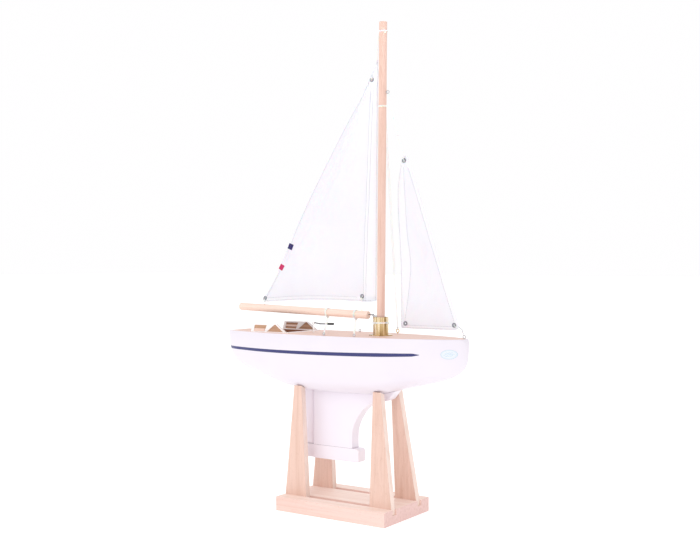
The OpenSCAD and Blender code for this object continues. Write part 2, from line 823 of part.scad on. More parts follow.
module leech_tag() {
    color([0.20, 0.22, 0.45])
    for (side = [-1, 1])
        translate([0, side * (sail_thickness / 2 + 0.2 + touch), deck_z])
            xz_plate([[-138.5, 163], [-131.5, 159], [-156.5, 113.5], [-164, 117]], 0.4);
}

// the jib turns about the line between its two eyes
function jib_line(reach) =
    let (d = jib_head_eye - jib_bow_eye) jib_bow_eye + reach * d / norm(d);

module jib_tack_hook() {
    tack = [jib_eyes[1][0] + 1, 3.2, deck_z + jib_eyes[1][1] + 1];
    color([0.45, 0.45, 0.48]) {
        rod(jib_line(4.2), jib_line(13), 0.7);
        translate(jib_line(13)) sphere(r = 0.95, $fn = 24);
        rod(jib_line(13), tack, 0.7);
    }
}

module jib_head_line() {
    head = [jib_eyes[0][0], 1.9, deck_z + jib_eyes[0][1] + 1.5];
    color([0.94, 0.93, 0.91])
    rod(jib_line(norm(jib_head_eye - jib_bow_eye) - 4.2), head, cord_r);
}

stand_base();
leg_fwd_starboard();
leg_fwd_port();
leg_aft_starboard();
leg_aft_port();
hull_shell();
deck();
deck_beams();
keel_fin();
keel_ballast();
keel_bolts();
rudder_tube();
rudder_shoe();
rudder_blade();
rudder_stock();
rudder_arm();
tiller();
tiller_grip();
mast();
mast_socket();
mast_bush();
mast_step_block();
socket_cord();
mast_wraps();
mast_stays();
mast_eye();
gooseneck_eye();
bow_eye();
deck_eyes();
deck_ring();
sheet_cords();
cockpit_tub();
coaming_starboard();
coaming_port();
coaming_trim_starboard();
coaming_trim_port();
cockpit_ledges();
cockpit_sill();
gear_tray();
tray_bearers();
rudder_servo();
rudder_servo_horn();
rudder_pushrod();
sail_servo();
sail_servo_arm();
receiver();
battery_pack();
gear_screws();
boom();
boom_hook();
boom_wraps();
mainsail();
mainsail_eyelets();
mainsail_ties();
leech_tag();
jib();
jib_eyelets();
jib_head_line();
jib_tack_hook();
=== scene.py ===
import math

import bmesh
import bpy
import numpy as np
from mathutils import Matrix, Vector
from mathutils.bvhtree import BVHTree
from mathutils.geometry import convex_hull_2d


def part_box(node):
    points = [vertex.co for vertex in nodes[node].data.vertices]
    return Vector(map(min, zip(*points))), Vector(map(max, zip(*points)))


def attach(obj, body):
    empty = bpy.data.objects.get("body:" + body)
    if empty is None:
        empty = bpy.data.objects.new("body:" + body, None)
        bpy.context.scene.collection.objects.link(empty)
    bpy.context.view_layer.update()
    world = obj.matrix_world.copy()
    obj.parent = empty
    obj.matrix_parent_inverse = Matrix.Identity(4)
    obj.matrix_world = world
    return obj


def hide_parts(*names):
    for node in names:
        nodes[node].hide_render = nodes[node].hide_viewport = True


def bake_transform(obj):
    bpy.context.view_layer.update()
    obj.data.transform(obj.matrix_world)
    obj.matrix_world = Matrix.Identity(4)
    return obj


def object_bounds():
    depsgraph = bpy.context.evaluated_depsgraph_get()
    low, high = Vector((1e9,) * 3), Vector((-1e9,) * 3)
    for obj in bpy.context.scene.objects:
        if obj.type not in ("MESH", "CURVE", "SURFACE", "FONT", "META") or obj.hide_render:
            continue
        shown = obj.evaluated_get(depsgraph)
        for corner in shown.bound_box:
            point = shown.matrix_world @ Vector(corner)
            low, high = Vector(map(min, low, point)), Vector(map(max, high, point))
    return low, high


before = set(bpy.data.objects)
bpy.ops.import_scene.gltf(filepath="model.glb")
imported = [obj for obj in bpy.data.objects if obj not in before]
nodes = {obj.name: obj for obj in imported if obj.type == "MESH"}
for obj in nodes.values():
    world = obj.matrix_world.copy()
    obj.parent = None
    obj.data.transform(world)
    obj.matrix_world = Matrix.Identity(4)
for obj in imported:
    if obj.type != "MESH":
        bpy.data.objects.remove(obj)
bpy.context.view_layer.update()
scene = bpy.context.scene
MM = 0.001


# ---- node helpers ----------------------------------------------------------
def opaque(colour):
    """A plain colour with an alpha of one, or whatever else a socket was given."""
    if isinstance(colour, (tuple, list)) and len(colour) == 3:
        return tuple(colour) + (1.0,)
    return colour


def shade(colour, *factors):
    """The colour times one factor, or times one for each channel."""
    if len(factors) == 1:
        factors *= 3
    return [min(1, c * k) for c, k in zip(colour, factors)]


class Graph:
    """A material's node tree, with a Principled shader already in place."""

    def __init__(self, name):
        self.material = bpy.data.materials.new(name)
        self.material.use_nodes = True
        self.tree = self.material.node_tree
        self.shader = self.tree.nodes["Principled BSDF"]
        self.coords = self.add("ShaderNodeTexCoord").outputs["Object"]

    def add(self, kind, **values):
        node = self.tree.nodes.new(kind)
        for key, value in values.items():
            setattr(node, key, value)
        return node

    def link(self, a, b):
        self.tree.links.new(a, b)

    def feed(self, socket, value):
        if hasattr(value, "is_linked"):
            self.link(value, socket)
        else:
            socket.default_value = value

    def split_coords(self):
        """Object coordinates as separate X, Y and Z sockets."""
        split = self.add("ShaderNodeSeparateXYZ")
        self.link(self.coords, split.inputs[0])
        return split.outputs

    def scaled(self, size_mm, shift=(0, 0, 0)):
        """Object coordinates divided by a feature size in millimetres along each axis."""
        node = self.add("ShaderNodeMapping")
        self.link(self.coords, node.inputs["Vector"])
        node.inputs["Scale"].default_value = [1000.0 / s for s in size_mm]
        node.inputs["Location"].default_value = shift
        return node.outputs["Vector"]

    def noise(self, size_mm, detail=3.0, rough=0.5, shift=(0, 0, 0), distortion=0.0):
        node = self.add("ShaderNodeTexNoise")
        self.link(self.scaled(size_mm, shift), node.inputs["Vector"])
        node.inputs["Scale"].default_value = 1.0
        node.inputs["Detail"].default_value = detail
        node.inputs["Roughness"].default_value = rough
        node.inputs["Distortion"].default_value = distortion
        return node.outputs["Fac"]

    def ramp(self, value, stops):
        node = self.add("ShaderNodeValToRGB")
        self.link(value, node.inputs["Fac"])
        while len(node.color_ramp.elements) < len(stops):
            node.color_ramp.elements.new(0.5)
        for element, (place, colour) in zip(node.color_ramp.elements, stops):
            element.position = place
            element.color = opaque(colour)
        return node.outputs["Color"]

    def remap(self, value, low, high, out_low, out_high):
        node = self.add("ShaderNodeMapRange")
        self.link(value, node.inputs["Value"])
        for key, number in (("From Min", low), ("From Max", high),
                            ("To Min", out_low), ("To Max", out_high)):
            node.inputs[key].default_value = number
        return node.outputs["Result"]

    def mix(self, factor, a, b):
        node = self.add("ShaderNodeMix", data_type="RGBA")
        self.feed(node.inputs[0], factor)
        self.feed(node.inputs[6], opaque(a))
        self.feed(node.inputs[7], opaque(b))
        return node.outputs[2]

    def maths(self, operation, a, b=0.0):
        node = self.add("ShaderNodeMath", operation=operation)
        self.feed(node.inputs[0], a)
        self.feed(node.inputs[1], b)
        return node.outputs[0]

    def bump(self, height, distance_mm, strength=1.0, normal=None):
        node = self.add("ShaderNodeBump")
        self.link(height, node.inputs["Height"])
        node.inputs["Distance"].default_value = distance_mm * MM
        node.inputs["Strength"].default_value = strength
        if normal is not None:
            self.link(normal, node.inputs["Normal"])
        return node.outputs["Normal"]

    def finish(self, colour, roughness, normal=None, metallic=0.0, **extra):
        self.feed(self.shader.inputs["Base Color"], opaque(colour))
        self.feed(self.shader.inputs["Roughness"], roughness)
        self.shader.inputs["Metallic"].default_value = metallic
        if normal is not None:
            self.link(normal, self.shader.inputs["Normal"])
        for key, value in extra.items():
            self.feed(self.shader.inputs[key.replace("_", " ")], value)
        return self.material


def stretched(axis, across, lengthwise):
    """A feature size that is longer along one axis."""
    size = [across] * 3
    size[axis] = lengthwise
    return size


def wood(name, light, dark, axis, shift=(0, 0, 0), fleck=0.35, streak=9.0, rough=0.48,
         contrast=1.0):
    """Fine beech-like timber: soft streaks, silky fibres and short brown flecks."""
    g = Graph(name)
    bands = g.noise(stretched(axis, streak, streak * 26), 4, 0.55, shift, 0.6)
    tone = g.ramp(bands, [(0.5 - 0.2 / contrast, dark), (0.5 + 0.02, light),
                          (0.5 + 0.22 / contrast, shade(light, 1.05))])
    growth = g.noise(stretched(axis, streak * 0.28, streak * 18), 2, 0.5, shift, 1.2)
    tone = g.mix(g.remap(growth, 0.52, 0.66, 0, 0.34 * contrast), tone,
                 shade(dark, 0.97, 0.92, 0.86))
    fibre = g.noise(stretched(axis, 0.7, 22), 3, 0.6, shift)
    tone = g.mix(g.remap(fibre, 0.35, 0.75, 0.0, 0.22), tone, shade(dark, 0.9))
    specks = g.noise(stretched(axis, 0.9, 5.5), 1, 0.4, shift)
    speck_mask = g.remap(specks, 0.67, 0.74, 0, fleck)
    tone = g.mix(speck_mask, tone, shade(dark, 0.72, 0.6, 0.5))
    normal = g.bump(fibre, 0.05, 0.5)
    normal = g.bump(speck_mask, 0.04, -0.6, normal)
    return g.finish(tone, g.remap(fibre, 0.3, 0.7, rough - 0.06, rough + 0.1), normal,
                    Specular_IOR_Level=0.35)


def paint(name, colour, rough=0.34, shift=(0, 0, 0)):
    """Sprayed paint over wood: faint orange peel, and grain that just shows through."""
    g = Graph(name)
    cloud = g.noise((60, 60, 60), 3, 0.5, shift)
    grain = g.noise((90, 2.2, 2.2), 3, 0.6, shift)
    tone = g.mix(g.remap(cloud, 0.3, 0.7, 0, 1), colour, shade(colour, 0.975, 0.972, 0.985))
    peel = g.noise((1.1, 1.1, 1.1), 2, 0.5, shift)
    normal = g.bump(peel, 0.05, 0.35)
    normal = g.bump(grain, 0.06, 0.22, normal)
    return g.finish(tone, g.remap(cloud, 0.3, 0.7, rough - 0.04, rough + 0.07), normal,
                    Coat_Weight=0.25, Coat_Roughness=0.18)


def metal(name, colour, rough, dull):
    """Plated metal: fine tool marks and duller, handled patches."""
    g = Graph(name)
    marks = g.noise((0.5, 0.5, 0.5), 3, 0.6)
    patches = g.noise((4.5, 4.5, 4.5), 3, 0.6, (3.1, 0, 0))
    tone = g.mix(g.remap(patches, 0.42, 0.72, 0, 0.55), colour, dull)
    roughness = g.maths("ADD", g.remap(patches, 0.3, 0.8, rough - 0.05, rough + 0.16),
                        g.remap(marks, 0.3, 0.7, -0.03, 0.05))
    return g.finish(tone, roughness, g.bump(marks, 0.03, 0.5), 1.0)


def reflection_streaked_metal(name, node, stops, rough):
    """Polished round metal with painted reflections: streaks of light and dark, standing for the
    studio's reflections, run along it, all round its axis.
    """
    g = Graph(name)
    x = [v.co.x for v in nodes[node].data.vertices]
    xyz = g.split_coords()
    turn = g.maths("ARCTAN2", xyz["Y"], g.maths("SUBTRACT", xyz["X"], (min(x) + max(x)) / 2))
    spread = g.add("ShaderNodeCombineXYZ")
    g.link(turn, spread.inputs["X"])
    g.link(g.maths("MULTIPLY", xyz["Z"], 4.0), spread.inputs["Y"])
    streaks = g.add("ShaderNodeTexNoise")
    g.link(spread.outputs[0], streaks.inputs["Vector"])
    streaks.inputs["Scale"].default_value = 3.4
    streaks.inputs["Detail"].default_value = 2.0
    marks = g.noise((30, 30, 0.25), 3, 0.6)
    tone = g.ramp(streaks.outputs["Fac"], stops)
    return g.finish(tone, g.remap(marks, 0.3, 0.7, rough - 0.03, rough + 0.06),
                    g.bump(marks, 0.02, 0.4), 1.0)


def plastic(name, colour, rough, grain_mm=0.5):
    """Moulded plastic with a fine skin."""
    g = Graph(name)
    skin = g.noise((grain_mm,) * 3, 2, 0.5)
    cloud = g.noise((9, 9, 9), 2, 0.5)
    tone = g.mix(g.remap(cloud, 0.3, 0.7, 0, 1), colour,
                 [min(1, c * 1.18 + 0.004) for c in colour])
    return g.finish(tone, g.remap(skin, 0.3, 0.7, rough - 0.05, rough + 0.08),
                    g.bump(skin, 0.05, 0.45))


def cord_stuff(name, colour):
    """Laid cotton thread with a slight fuzz."""
    g = Graph(name)
    fuzz = g.noise((0.25, 0.25, 0.25), 3, 0.6)
    tone = g.mix(g.remap(fuzz, 0.35, 0.65, 0, 0.6), colour, shade(colour, 0.9))
    return g.finish(tone, 0.85, g.bump(fuzz, 0.06, 0.6), Sheen_Weight=0.3,
                    Subsurface_Weight=0.3, Subsurface_Scale=0.001)


def cloth(name, colour, weave_mm=0.55, soft=0.012):
    """Plain-weave cotton in the sail's plane, with slubs and soft cloudiness."""
    g = Graph(name)
    xyz = g.split_coords()
    waves = [g.maths("SINE", g.maths("MULTIPLY", xyz[axis], math.tau * 1000 / weave_mm))
             for axis in ("X", "Z")]
    weave = g.maths("MULTIPLY", *waves)
    slub_x = g.noise((14, 5, 0.5), 2, 0.5)
    slub_z = g.noise((0.5, 5, 14), 2, 0.5, (5, 0, 1))
    slubs = g.maths("ADD", slub_x, slub_z)
    cloud = g.noise((70, 30, 90), 3, 0.55)
    tone = g.mix(g.remap(cloud, 0.35, 0.65, 0, 1), colour,
                 [max(0, c - soft * k) for c, k in zip(colour, (1.9, 2.2, 1.0))])
    tone = g.mix(g.remap(slubs, 0.85, 1.25, 0, 0.10), tone, shade(colour, 0.8))
    tone = g.mix(g.remap(weave, -1, 1, 0.05, 0), tone, shade(colour, 0.7))
    normal = g.bump(weave, 0.08, 0.30)
    normal = g.bump(slubs, 0.10, 0.30, normal)
    return g.finish(tone, 0.78, normal, Sheen_Weight=0.25, Sheen_Roughness=0.5,
                    Subsurface_Weight=0.12, Subsurface_Scale=0.004)


# ---- materials -------------------------------------------------------------
beech, beech_dark = (0.78, 0.555, 0.47), (0.70, 0.465, 0.375)
base_light, base_dark = (0.87, 0.64, 0.575), (0.79, 0.555, 0.485)
spar_light, spar_dark = (0.80, 0.555, 0.47), (0.70, 0.45, 0.365)
deck_light, deck_dark = (0.83, 0.61, 0.54), (0.74, 0.50, 0.425)

hull_white = paint("hull_paint", (0.795, 0.75, 0.815))
# painted light: the white of the fin and the rudder shoe is a lighter copy of the hull's white, to
# make up for the shade under the hull
fin_white_painted_light = paint("fin_paint", (0.86, 0.81, 0.88), 0.42, (2, 1, 4))
trim_white = paint("trim_paint", (0.95, 0.925, 0.92), 0.42, (7, 2, 1))
# painted reflections: the turned brass socket carries light and dark streaks that stand for the
# studio's reflections
brass_painted_reflections = reflection_streaked_metal("brass_painted_reflections", "mast_socket",
                              [(0.31, (0.15, 0.085, 0.035)), (0.42, (0.48, 0.32, 0.14)),
                               (0.51, (0.70, 0.53, 0.30)), (0.58, (0.93, 0.82, 0.62)),
                               (0.68, (0.38, 0.24, 0.10))], 0.22)
brass_plain = metal("brass_plain", (0.78, 0.58, 0.26), 0.30, (0.55, 0.38, 0.16))
steel = metal("steel_plated", (0.60, 0.60, 0.62), 0.32, (0.40, 0.40, 0.42))
bright_steel = metal("steel_bright", (0.93, 0.92, 0.92), 0.22, (0.84, 0.83, 0.83))
dark_steel = metal("steel_dark", (0.20, 0.20, 0.22), 0.38, (0.11, 0.11, 0.12))
eyelet_metal = metal("eyelet_metal", (0.30, 0.30, 0.33), 0.33, (0.18, 0.18, 0.20))
white_cord = cord_stuff("cord_white", (0.99, 0.975, 0.95))
sail_white = cloth("sail_cloth", (0.835, 0.825, 0.875))
hem_white = cloth("sail_hem", (0.865, 0.86, 0.90), soft=0.006)
thread = cord_stuff("thread_grey", (0.34, 0.33, 0.40))

finishes = {
    "stand_base": wood("base_wood", base_light, base_dark, 0, (0.3, 1.7, 0.2), streak=11),
    "deck": wood("deck_wood", deck_light, deck_dark, 0, (3, 5, 1), fleck=0.2, streak=8),
    "mast": wood("mast_wood", spar_light, spar_dark, 2, (1, 2, 8), fleck=0.3, streak=5),
    "boom": wood("boom_wood", (0.94, 0.74, 0.64), (0.86, 0.64, 0.54), 0, (4, 2, 2),
                 fleck=0.3, streak=5),
    "mast_bush": wood("bush_wood", (0.5, 0.3, 0.17), (0.38, 0.22, 0.12), 2),
    "cockpit_tub": wood("tub_wood", (0.30, 0.125, 0.07), (0.20, 0.075, 0.045), 0,
                        fleck=0.5, streak=6, contrast=1.3),
    "cockpit_ledges": wood("ledge_wood", (0.90, 0.70, 0.62), (0.82, 0.60, 0.51), 0, streak=4),
    "gear_tray": wood("tray_wood", (0.72, 0.52, 0.33), (0.6, 0.42, 0.26), 0),
    "tiller": dark_steel, "boom_hook": dark_steel, "jib_tack_hook": steel,
    "tiller_grip": plastic("grip_black", (0.012, 0.012, 0.014), 0.5, 0.3),
    "hull_shell": hull_white, "keel_fin": fin_white_painted_light, "rudder_shoe": fin_white_painted_light,
    "rudder_blade": paint("rudder_paint", (0.86, 0.79, 0.86), 0.4, (9, 9, 3)),
    "keel_ballast": paint("ballast_paint", (0.88, 0.825, 0.89), 0.40, (5, 1, 2)),
    "rudder_servo": plastic("servo_black", (0.02, 0.02, 0.022), 0.42),
    "rudder_servo_horn": plastic("horn_white", (0.82, 0.82, 0.80), 0.35),
    "receiver": plastic("receiver_grey", (0.05, 0.055, 0.07), 0.45),
    "battery_pack": plastic("sleeve_blue", (0.03, 0.09, 0.28), 0.25, 2.0),
    "mast_socket": brass_painted_reflections, "rudder_stock": bright_steel,
}
for side in ("starboard", "port"):
    for end, shift in (("fwd", 2.0), ("aft", 6.0)):
        name = f"leg_{end}_{side}"
        finishes[name] = wood(name + "_wood", beech, beech_dark, 2,
                              (shift, len(side) * 0.9, shift * 0.7), streak=7)
    finishes[f"coaming_{side}"] = wood(f"coaming_{side}_wood", (0.56, 0.34, 0.22),
                                       (0.40, 0.22, 0.135), 0, (len(side), 0, 3),
                                       fleck=0.5, streak=4, contrast=1.3)
    finishes[f"coaming_trim_{side}"] = trim_white
shared_finishes = [
    (trim_white, ["cockpit_sill"]),
    (steel, ["keel_bolts", "gear_screws", "rudder_pushrod", "mast_eye", "gooseneck_eye",
             "bow_eye", "deck_eyes"]),
    (brass_plain, ["rudder_tube", "rudder_arm", "deck_ring"]),
    (eyelet_metal, ["mainsail_eyelets", "jib_eyelets"]),
    (finishes["gear_tray"], ["deck_beams", "mast_step_block", "tray_bearers"]),
    (finishes["rudder_servo"], ["sail_servo"]),
    (finishes["rudder_servo_horn"], ["sail_servo_arm"]),
    (white_cord, ["socket_cord", "mast_wraps", "mast_stays", "sheet_cords", "boom_wraps",
                  "mainsail_ties", "jib_head_line"]),
    (sail_white, ["mainsail", "jib", "leech_tag"]),
]
for material, names in shared_finishes:
    for name in names:
        finishes[name] = material
for name, obj in nodes.items():
    obj.data.materials.clear()
    obj.data.materials.append(finishes[name])


def repaint(name, material, test):
    """Puts a further material on the faces of a CAD piece that pass a test."""
    mesh = nodes[name].data
    mesh.materials.append(material)
    for face in mesh.polygons:
        if test(face):
            face.material_index = len(mesh.materials) - 1


# painted light: the base's top and the legs' fore and aft faces get lighter woods that stand for
# the light falling on them; end grain takes a tone of its own; the tiller's boss is bright
boss_radius = 3.0 * MM
boss_x = min(v.co.x for v in nodes["tiller"].data.vertices) + boss_radius
repaint("tiller", bright_steel,
        lambda f: math.hypot(f.center.x - boss_x, f.center.y) < boss_radius + 0.1 * MM)
# painted light: a lighter wood on the base's upward faces stands for the light from above
repaint("stand_base", wood("base_top_painted_light_wood", (0.97, 0.79, 0.71), (0.89, 0.68, 0.59), 0,
                           (0.3, 1.7, 0.2), streak=11), lambda f: f.normal.z > 0.5)
repaint("stand_base", wood("base_end_wood", (0.78, 0.55, 0.515), (0.71, 0.475, 0.43), 0,
                           (4, 2, 6), streak=5), lambda f: abs(f.normal.x) > 0.5)
# painted light: a lighter wood on the legs' fore and aft faces stands for the light from the bow
# side
leg_side_painted_light_wood = wood("leg_side_painted_light_wood", (0.86, 0.70, 0.63), (0.78, 0.59, 0.50), 2, (1, 6, 3),
                     streak=7)
for name in nodes:
    if name.startswith("leg_"):
        repaint(name, leg_side_painted_light_wood, lambda f: abs(f.normal.x) > 0.5)


# ---- smooth shading between crisp edges on the CAD pieces -----------------
WELD_REACH = 0.01 * MM
CAD_CREASE = math.radians(30)     # edges sharper than this stay crisp
PIECE_CREASE = math.radians(50)   # the same for the pieces built below

for obj in nodes.values():
    obj.data.polygons.foreach_set("use_smooth", [True] * len(obj.data.polygons))
    weld = obj.modifiers.new("weld", "WELD")
    weld.merge_threshold = WELD_REACH
    split = obj.modifiers.new("split", "EDGE_SPLIT")
    split.split_angle = CAD_CREASE
    obj.modifiers.new("normals", "WEIGHTED_NORMAL")


# ---- mesh builders ---------------------------------------------------------
def piece(name, verts, faces, materials, body=None, slot=None, replaces=(), rows=None):
    """A new mesh piece; rows gives each face's material index."""
    mesh = bpy.data.meshes.new(name)
    mesh.from_pydata([tuple(v) for v in verts], [], [tuple(f) for f in faces])
    shape = bmesh.new()
    shape.from_mesh(mesh)
    bmesh.ops.recalc_face_normals(shape, faces=shape.faces)
    shape.to_mesh(mesh)
    shape.free()
    for material in materials if isinstance(materials, list) else [materials]:
        mesh.materials.append(material)
    mesh.polygons.foreach_set("use_smooth", [True] * len(mesh.polygons))
    if rows is not None:
        mesh.polygons.foreach_set("material_index", rows)
    mesh.set_sharp_from_angle(angle=PIECE_CREASE)
    obj = bpy.data.objects.new(name, mesh)
    scene.collection.objects.link(obj)
    if body:
        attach(obj, body)
    if replaces:
        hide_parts(*replaces)
    return obj


def merge(parts):
    """Joins the vertices and faces of several parts into one list of each."""
    verts, faces, base = [], [], 0
    for part in parts:
        verts.append(part[0])
        faces += [tuple(k + base for k in face) for face in part[1]]
        base += len(part[0])
    return np.concatenate(verts), faces


def slab(grid, normals, front, back, ring=False):
    """Closed solid from a grid of points, offset along the normals to both sides.

    Returns its vertices, its faces and the grid row that each face belongs to.
    """
    rows, cols = grid.shape[:2]
    front = np.broadcast_to(front, (rows, cols))[..., None]
    back = np.broadcast_to(back, (rows, cols))[..., None]
    verts = np.concatenate([(grid + normals * front).reshape(-1, 3),
                            (grid - normals * back).reshape(-1, 3)])
    under = rows * cols
    faces, order = [], []
    last = rows if ring else rows - 1
    for i in range(last):
        a0, b0 = i * cols, ((i + 1) % rows) * cols
        for j in range(cols - 1):
            quad = (a0 + j, a0 + j + 1, b0 + j + 1, b0 + j)
            faces += [quad, tuple(under + k for k in reversed(quad))]
            order += [i, i]
        for j, flip in ((0, False), (cols - 1, True)):
            wall = (a0 + j, b0 + j, under + b0 + j, under + a0 + j)
            faces.append(wall[::-1] if flip else wall)
            order.append(i)
    if not ring:
        for i, flip in ((0, True), (rows - 1, False)):
            for j in range(cols - 1):
                a, b = i * cols + j, i * cols + j + 1
                wall = (a, b, under + b, under + a)
                faces.append(wall[::-1] if flip else wall)
                order.append(min(i, last - 1))
    return verts, faces, order


def along(points, step_mm, closed=False):
    """Smooth path through the points (millimetres), evenly resampled; returns metres."""
    p = np.array(points, float)
    n = len(p)
    dense = []
    spans = n if closed else n - 1
    for i in range(spans):
        if closed:
            p0, p1, p2, p3 = (p[(i + k) % n] for k in (-1, 0, 1, 2))
        else:
            p0, p1, p2, p3 = p[max(i - 1, 0)], p[i], p[i + 1], p[min(i + 2, n - 1)]
        for t in np.linspace(0, 1, 24, endpoint=False):
            dense.append(0.5 * (2 * p1 + (p2 - p0) * t + (2 * p0 - 5 * p1 + 4 * p2 - p3) * t ** 2
                                + (3 * p1 - p0 - 3 * p2 + p3) * t ** 3))
    dense.append(p[0] if closed else p[-1])
    dense = np.array(dense)
    length = np.concatenate([[0], np.cumsum(np.linalg.norm(np.diff(dense, axis=0), axis=1))])
    count = max(3, int(round(length[-1] / step_mm)))
    at = np.linspace(0, length[-1], count + 1)
    if closed:
        at = at[:-1]
    return np.stack([np.interp(at, length, dense[:, k]) for k in range(3)], 1) * MM


def carried_frames(path, closed):
    """Two unit vectors across the path at each point, turned as little as possible."""
    tangents = (np.roll(path, -1, 0) - np.roll(path, 1, 0)) if closed else np.gradient(path, axis=0)
    tangents /= np.linalg.norm(tangents, axis=1)[:, None]
    seed = np.array([0.0, 0, 1]) if abs(tangents[0][2]) < 0.9 else np.array([1.0, 0, 0])
    across = []
    for t in tangents:
        seed = seed - t * seed.dot(t)
        seed /= np.linalg.norm(seed)
        across.append(seed)
    across = np.array(across)
    return across, np.cross(tangents, across)


def tube(path, radius, sides, closed=False):
    """Round bar along a path, with its ends closed unless it is a loop."""
    a, b = carried_frames(path, closed)
    turn = np.linspace(0, math.tau, sides, endpoint=False)
    rings = (path[:, None] + radius * (a[:, None] * np.cos(turn)[None, :, None]
                                       + b[:, None] * np.sin(turn)[None, :, None]))
    verts = rings.reshape(-1, 3)
    n = len(path)
    faces = []
    for i in range(n if closed else n - 1):
        for j in range(sides):
            k, m = (j + 1) % sides, ((i + 1) % n) * sides
            faces.append((i * sides + j, i * sides + k, m + k, m + j))
    if not closed:
        faces.append(tuple(range(sides - 1, -1, -1)))
        faces.append(tuple((n - 1) * sides + j for j in range(sides)))
    return verts, faces


def laid_cord(paths, radius_mm, closed=False):
    """Two strands twisted round each other along each path."""
    strands = []
    for path in paths:
        points = along(path, radius_mm * 0.75, closed)
        a, b = carried_frames(points, closed)
        step = np.linalg.norm(points[1] - points[0])
        turns = max(1, round(len(points) * step / (radius_mm * 6.5 * MM)))
        phase = np.arange(len(points)) * math.tau * turns / len(points)
        for offset in (0, math.pi):
            swing = 0.46 * radius_mm * MM * (a * np.cos(phase + offset)[:, None]
                                             + b * np.sin(phase + offset)[:, None])
            strands.append(tube(points + swing, radius_mm * 0.56 * MM, 6, closed))
    return merge(strands)


def cord(name, paths, radius_mm, body, replaces=(), blend=None):
    """A piece of laid cord on one body; when blend is given, its transform is baked into its mesh.
    """
    obj = piece(name, *laid_cord(paths, radius_mm), white_cord, body, "cord", replaces)
    if blend:
        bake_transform(obj)
    return obj


def knot(centre, size_mm):
    """Points of a small overhand knot."""
    t = np.linspace(0, math.tau, 18, endpoint=False)
    shape = np.stack([np.sin(t) + 2 * np.sin(2 * t), -np.sin(3 * t) * 1.2,
                      np.cos(t) - 2 * np.cos(2 * t)], 1) * size_mm / 3
    return shape + np.array(centre)


# ---- places taken from the frame, in millimetres --------------------------
def span(node):
    """Low and high corners of a CAD piece's box."""
    low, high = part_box(node)
    return np.array(low) / MM, np.array(high) / MM


deck_z = span("deck")[1][2]
mast_low, mast_high = span("mast")
boom_low, boom_high = span("boom")
boom_radius = (boom_high[1] - boom_low[1]) / 2
mast_radius = (mast_high[1] - mast_low[1]) / 2
BOAT, BOOM, JIB = "boat", "boom_and_mainsail", "jib_sail"


def boom_centre(x):
    """Height of the boom's axis: it falls from the aft end to the fore end."""
    share = (x - boom_low[0]) / (boom_high[0] - boom_low[0])
    aft, fore = boom_high[2] - boom_radius, boom_low[2] + boom_radius
    return aft + (fore - aft) * share


def mast_centre(z):
    """Place of the mast's axis along the hull: the mast rakes a little."""
    share = (z - mast_low[2]) / (mast_high[2] - mast_low[2])
    foot, top = mast_low[0] + mast_radius, mast_high[0] - mast_radius
    return foot + (top - foot) * share


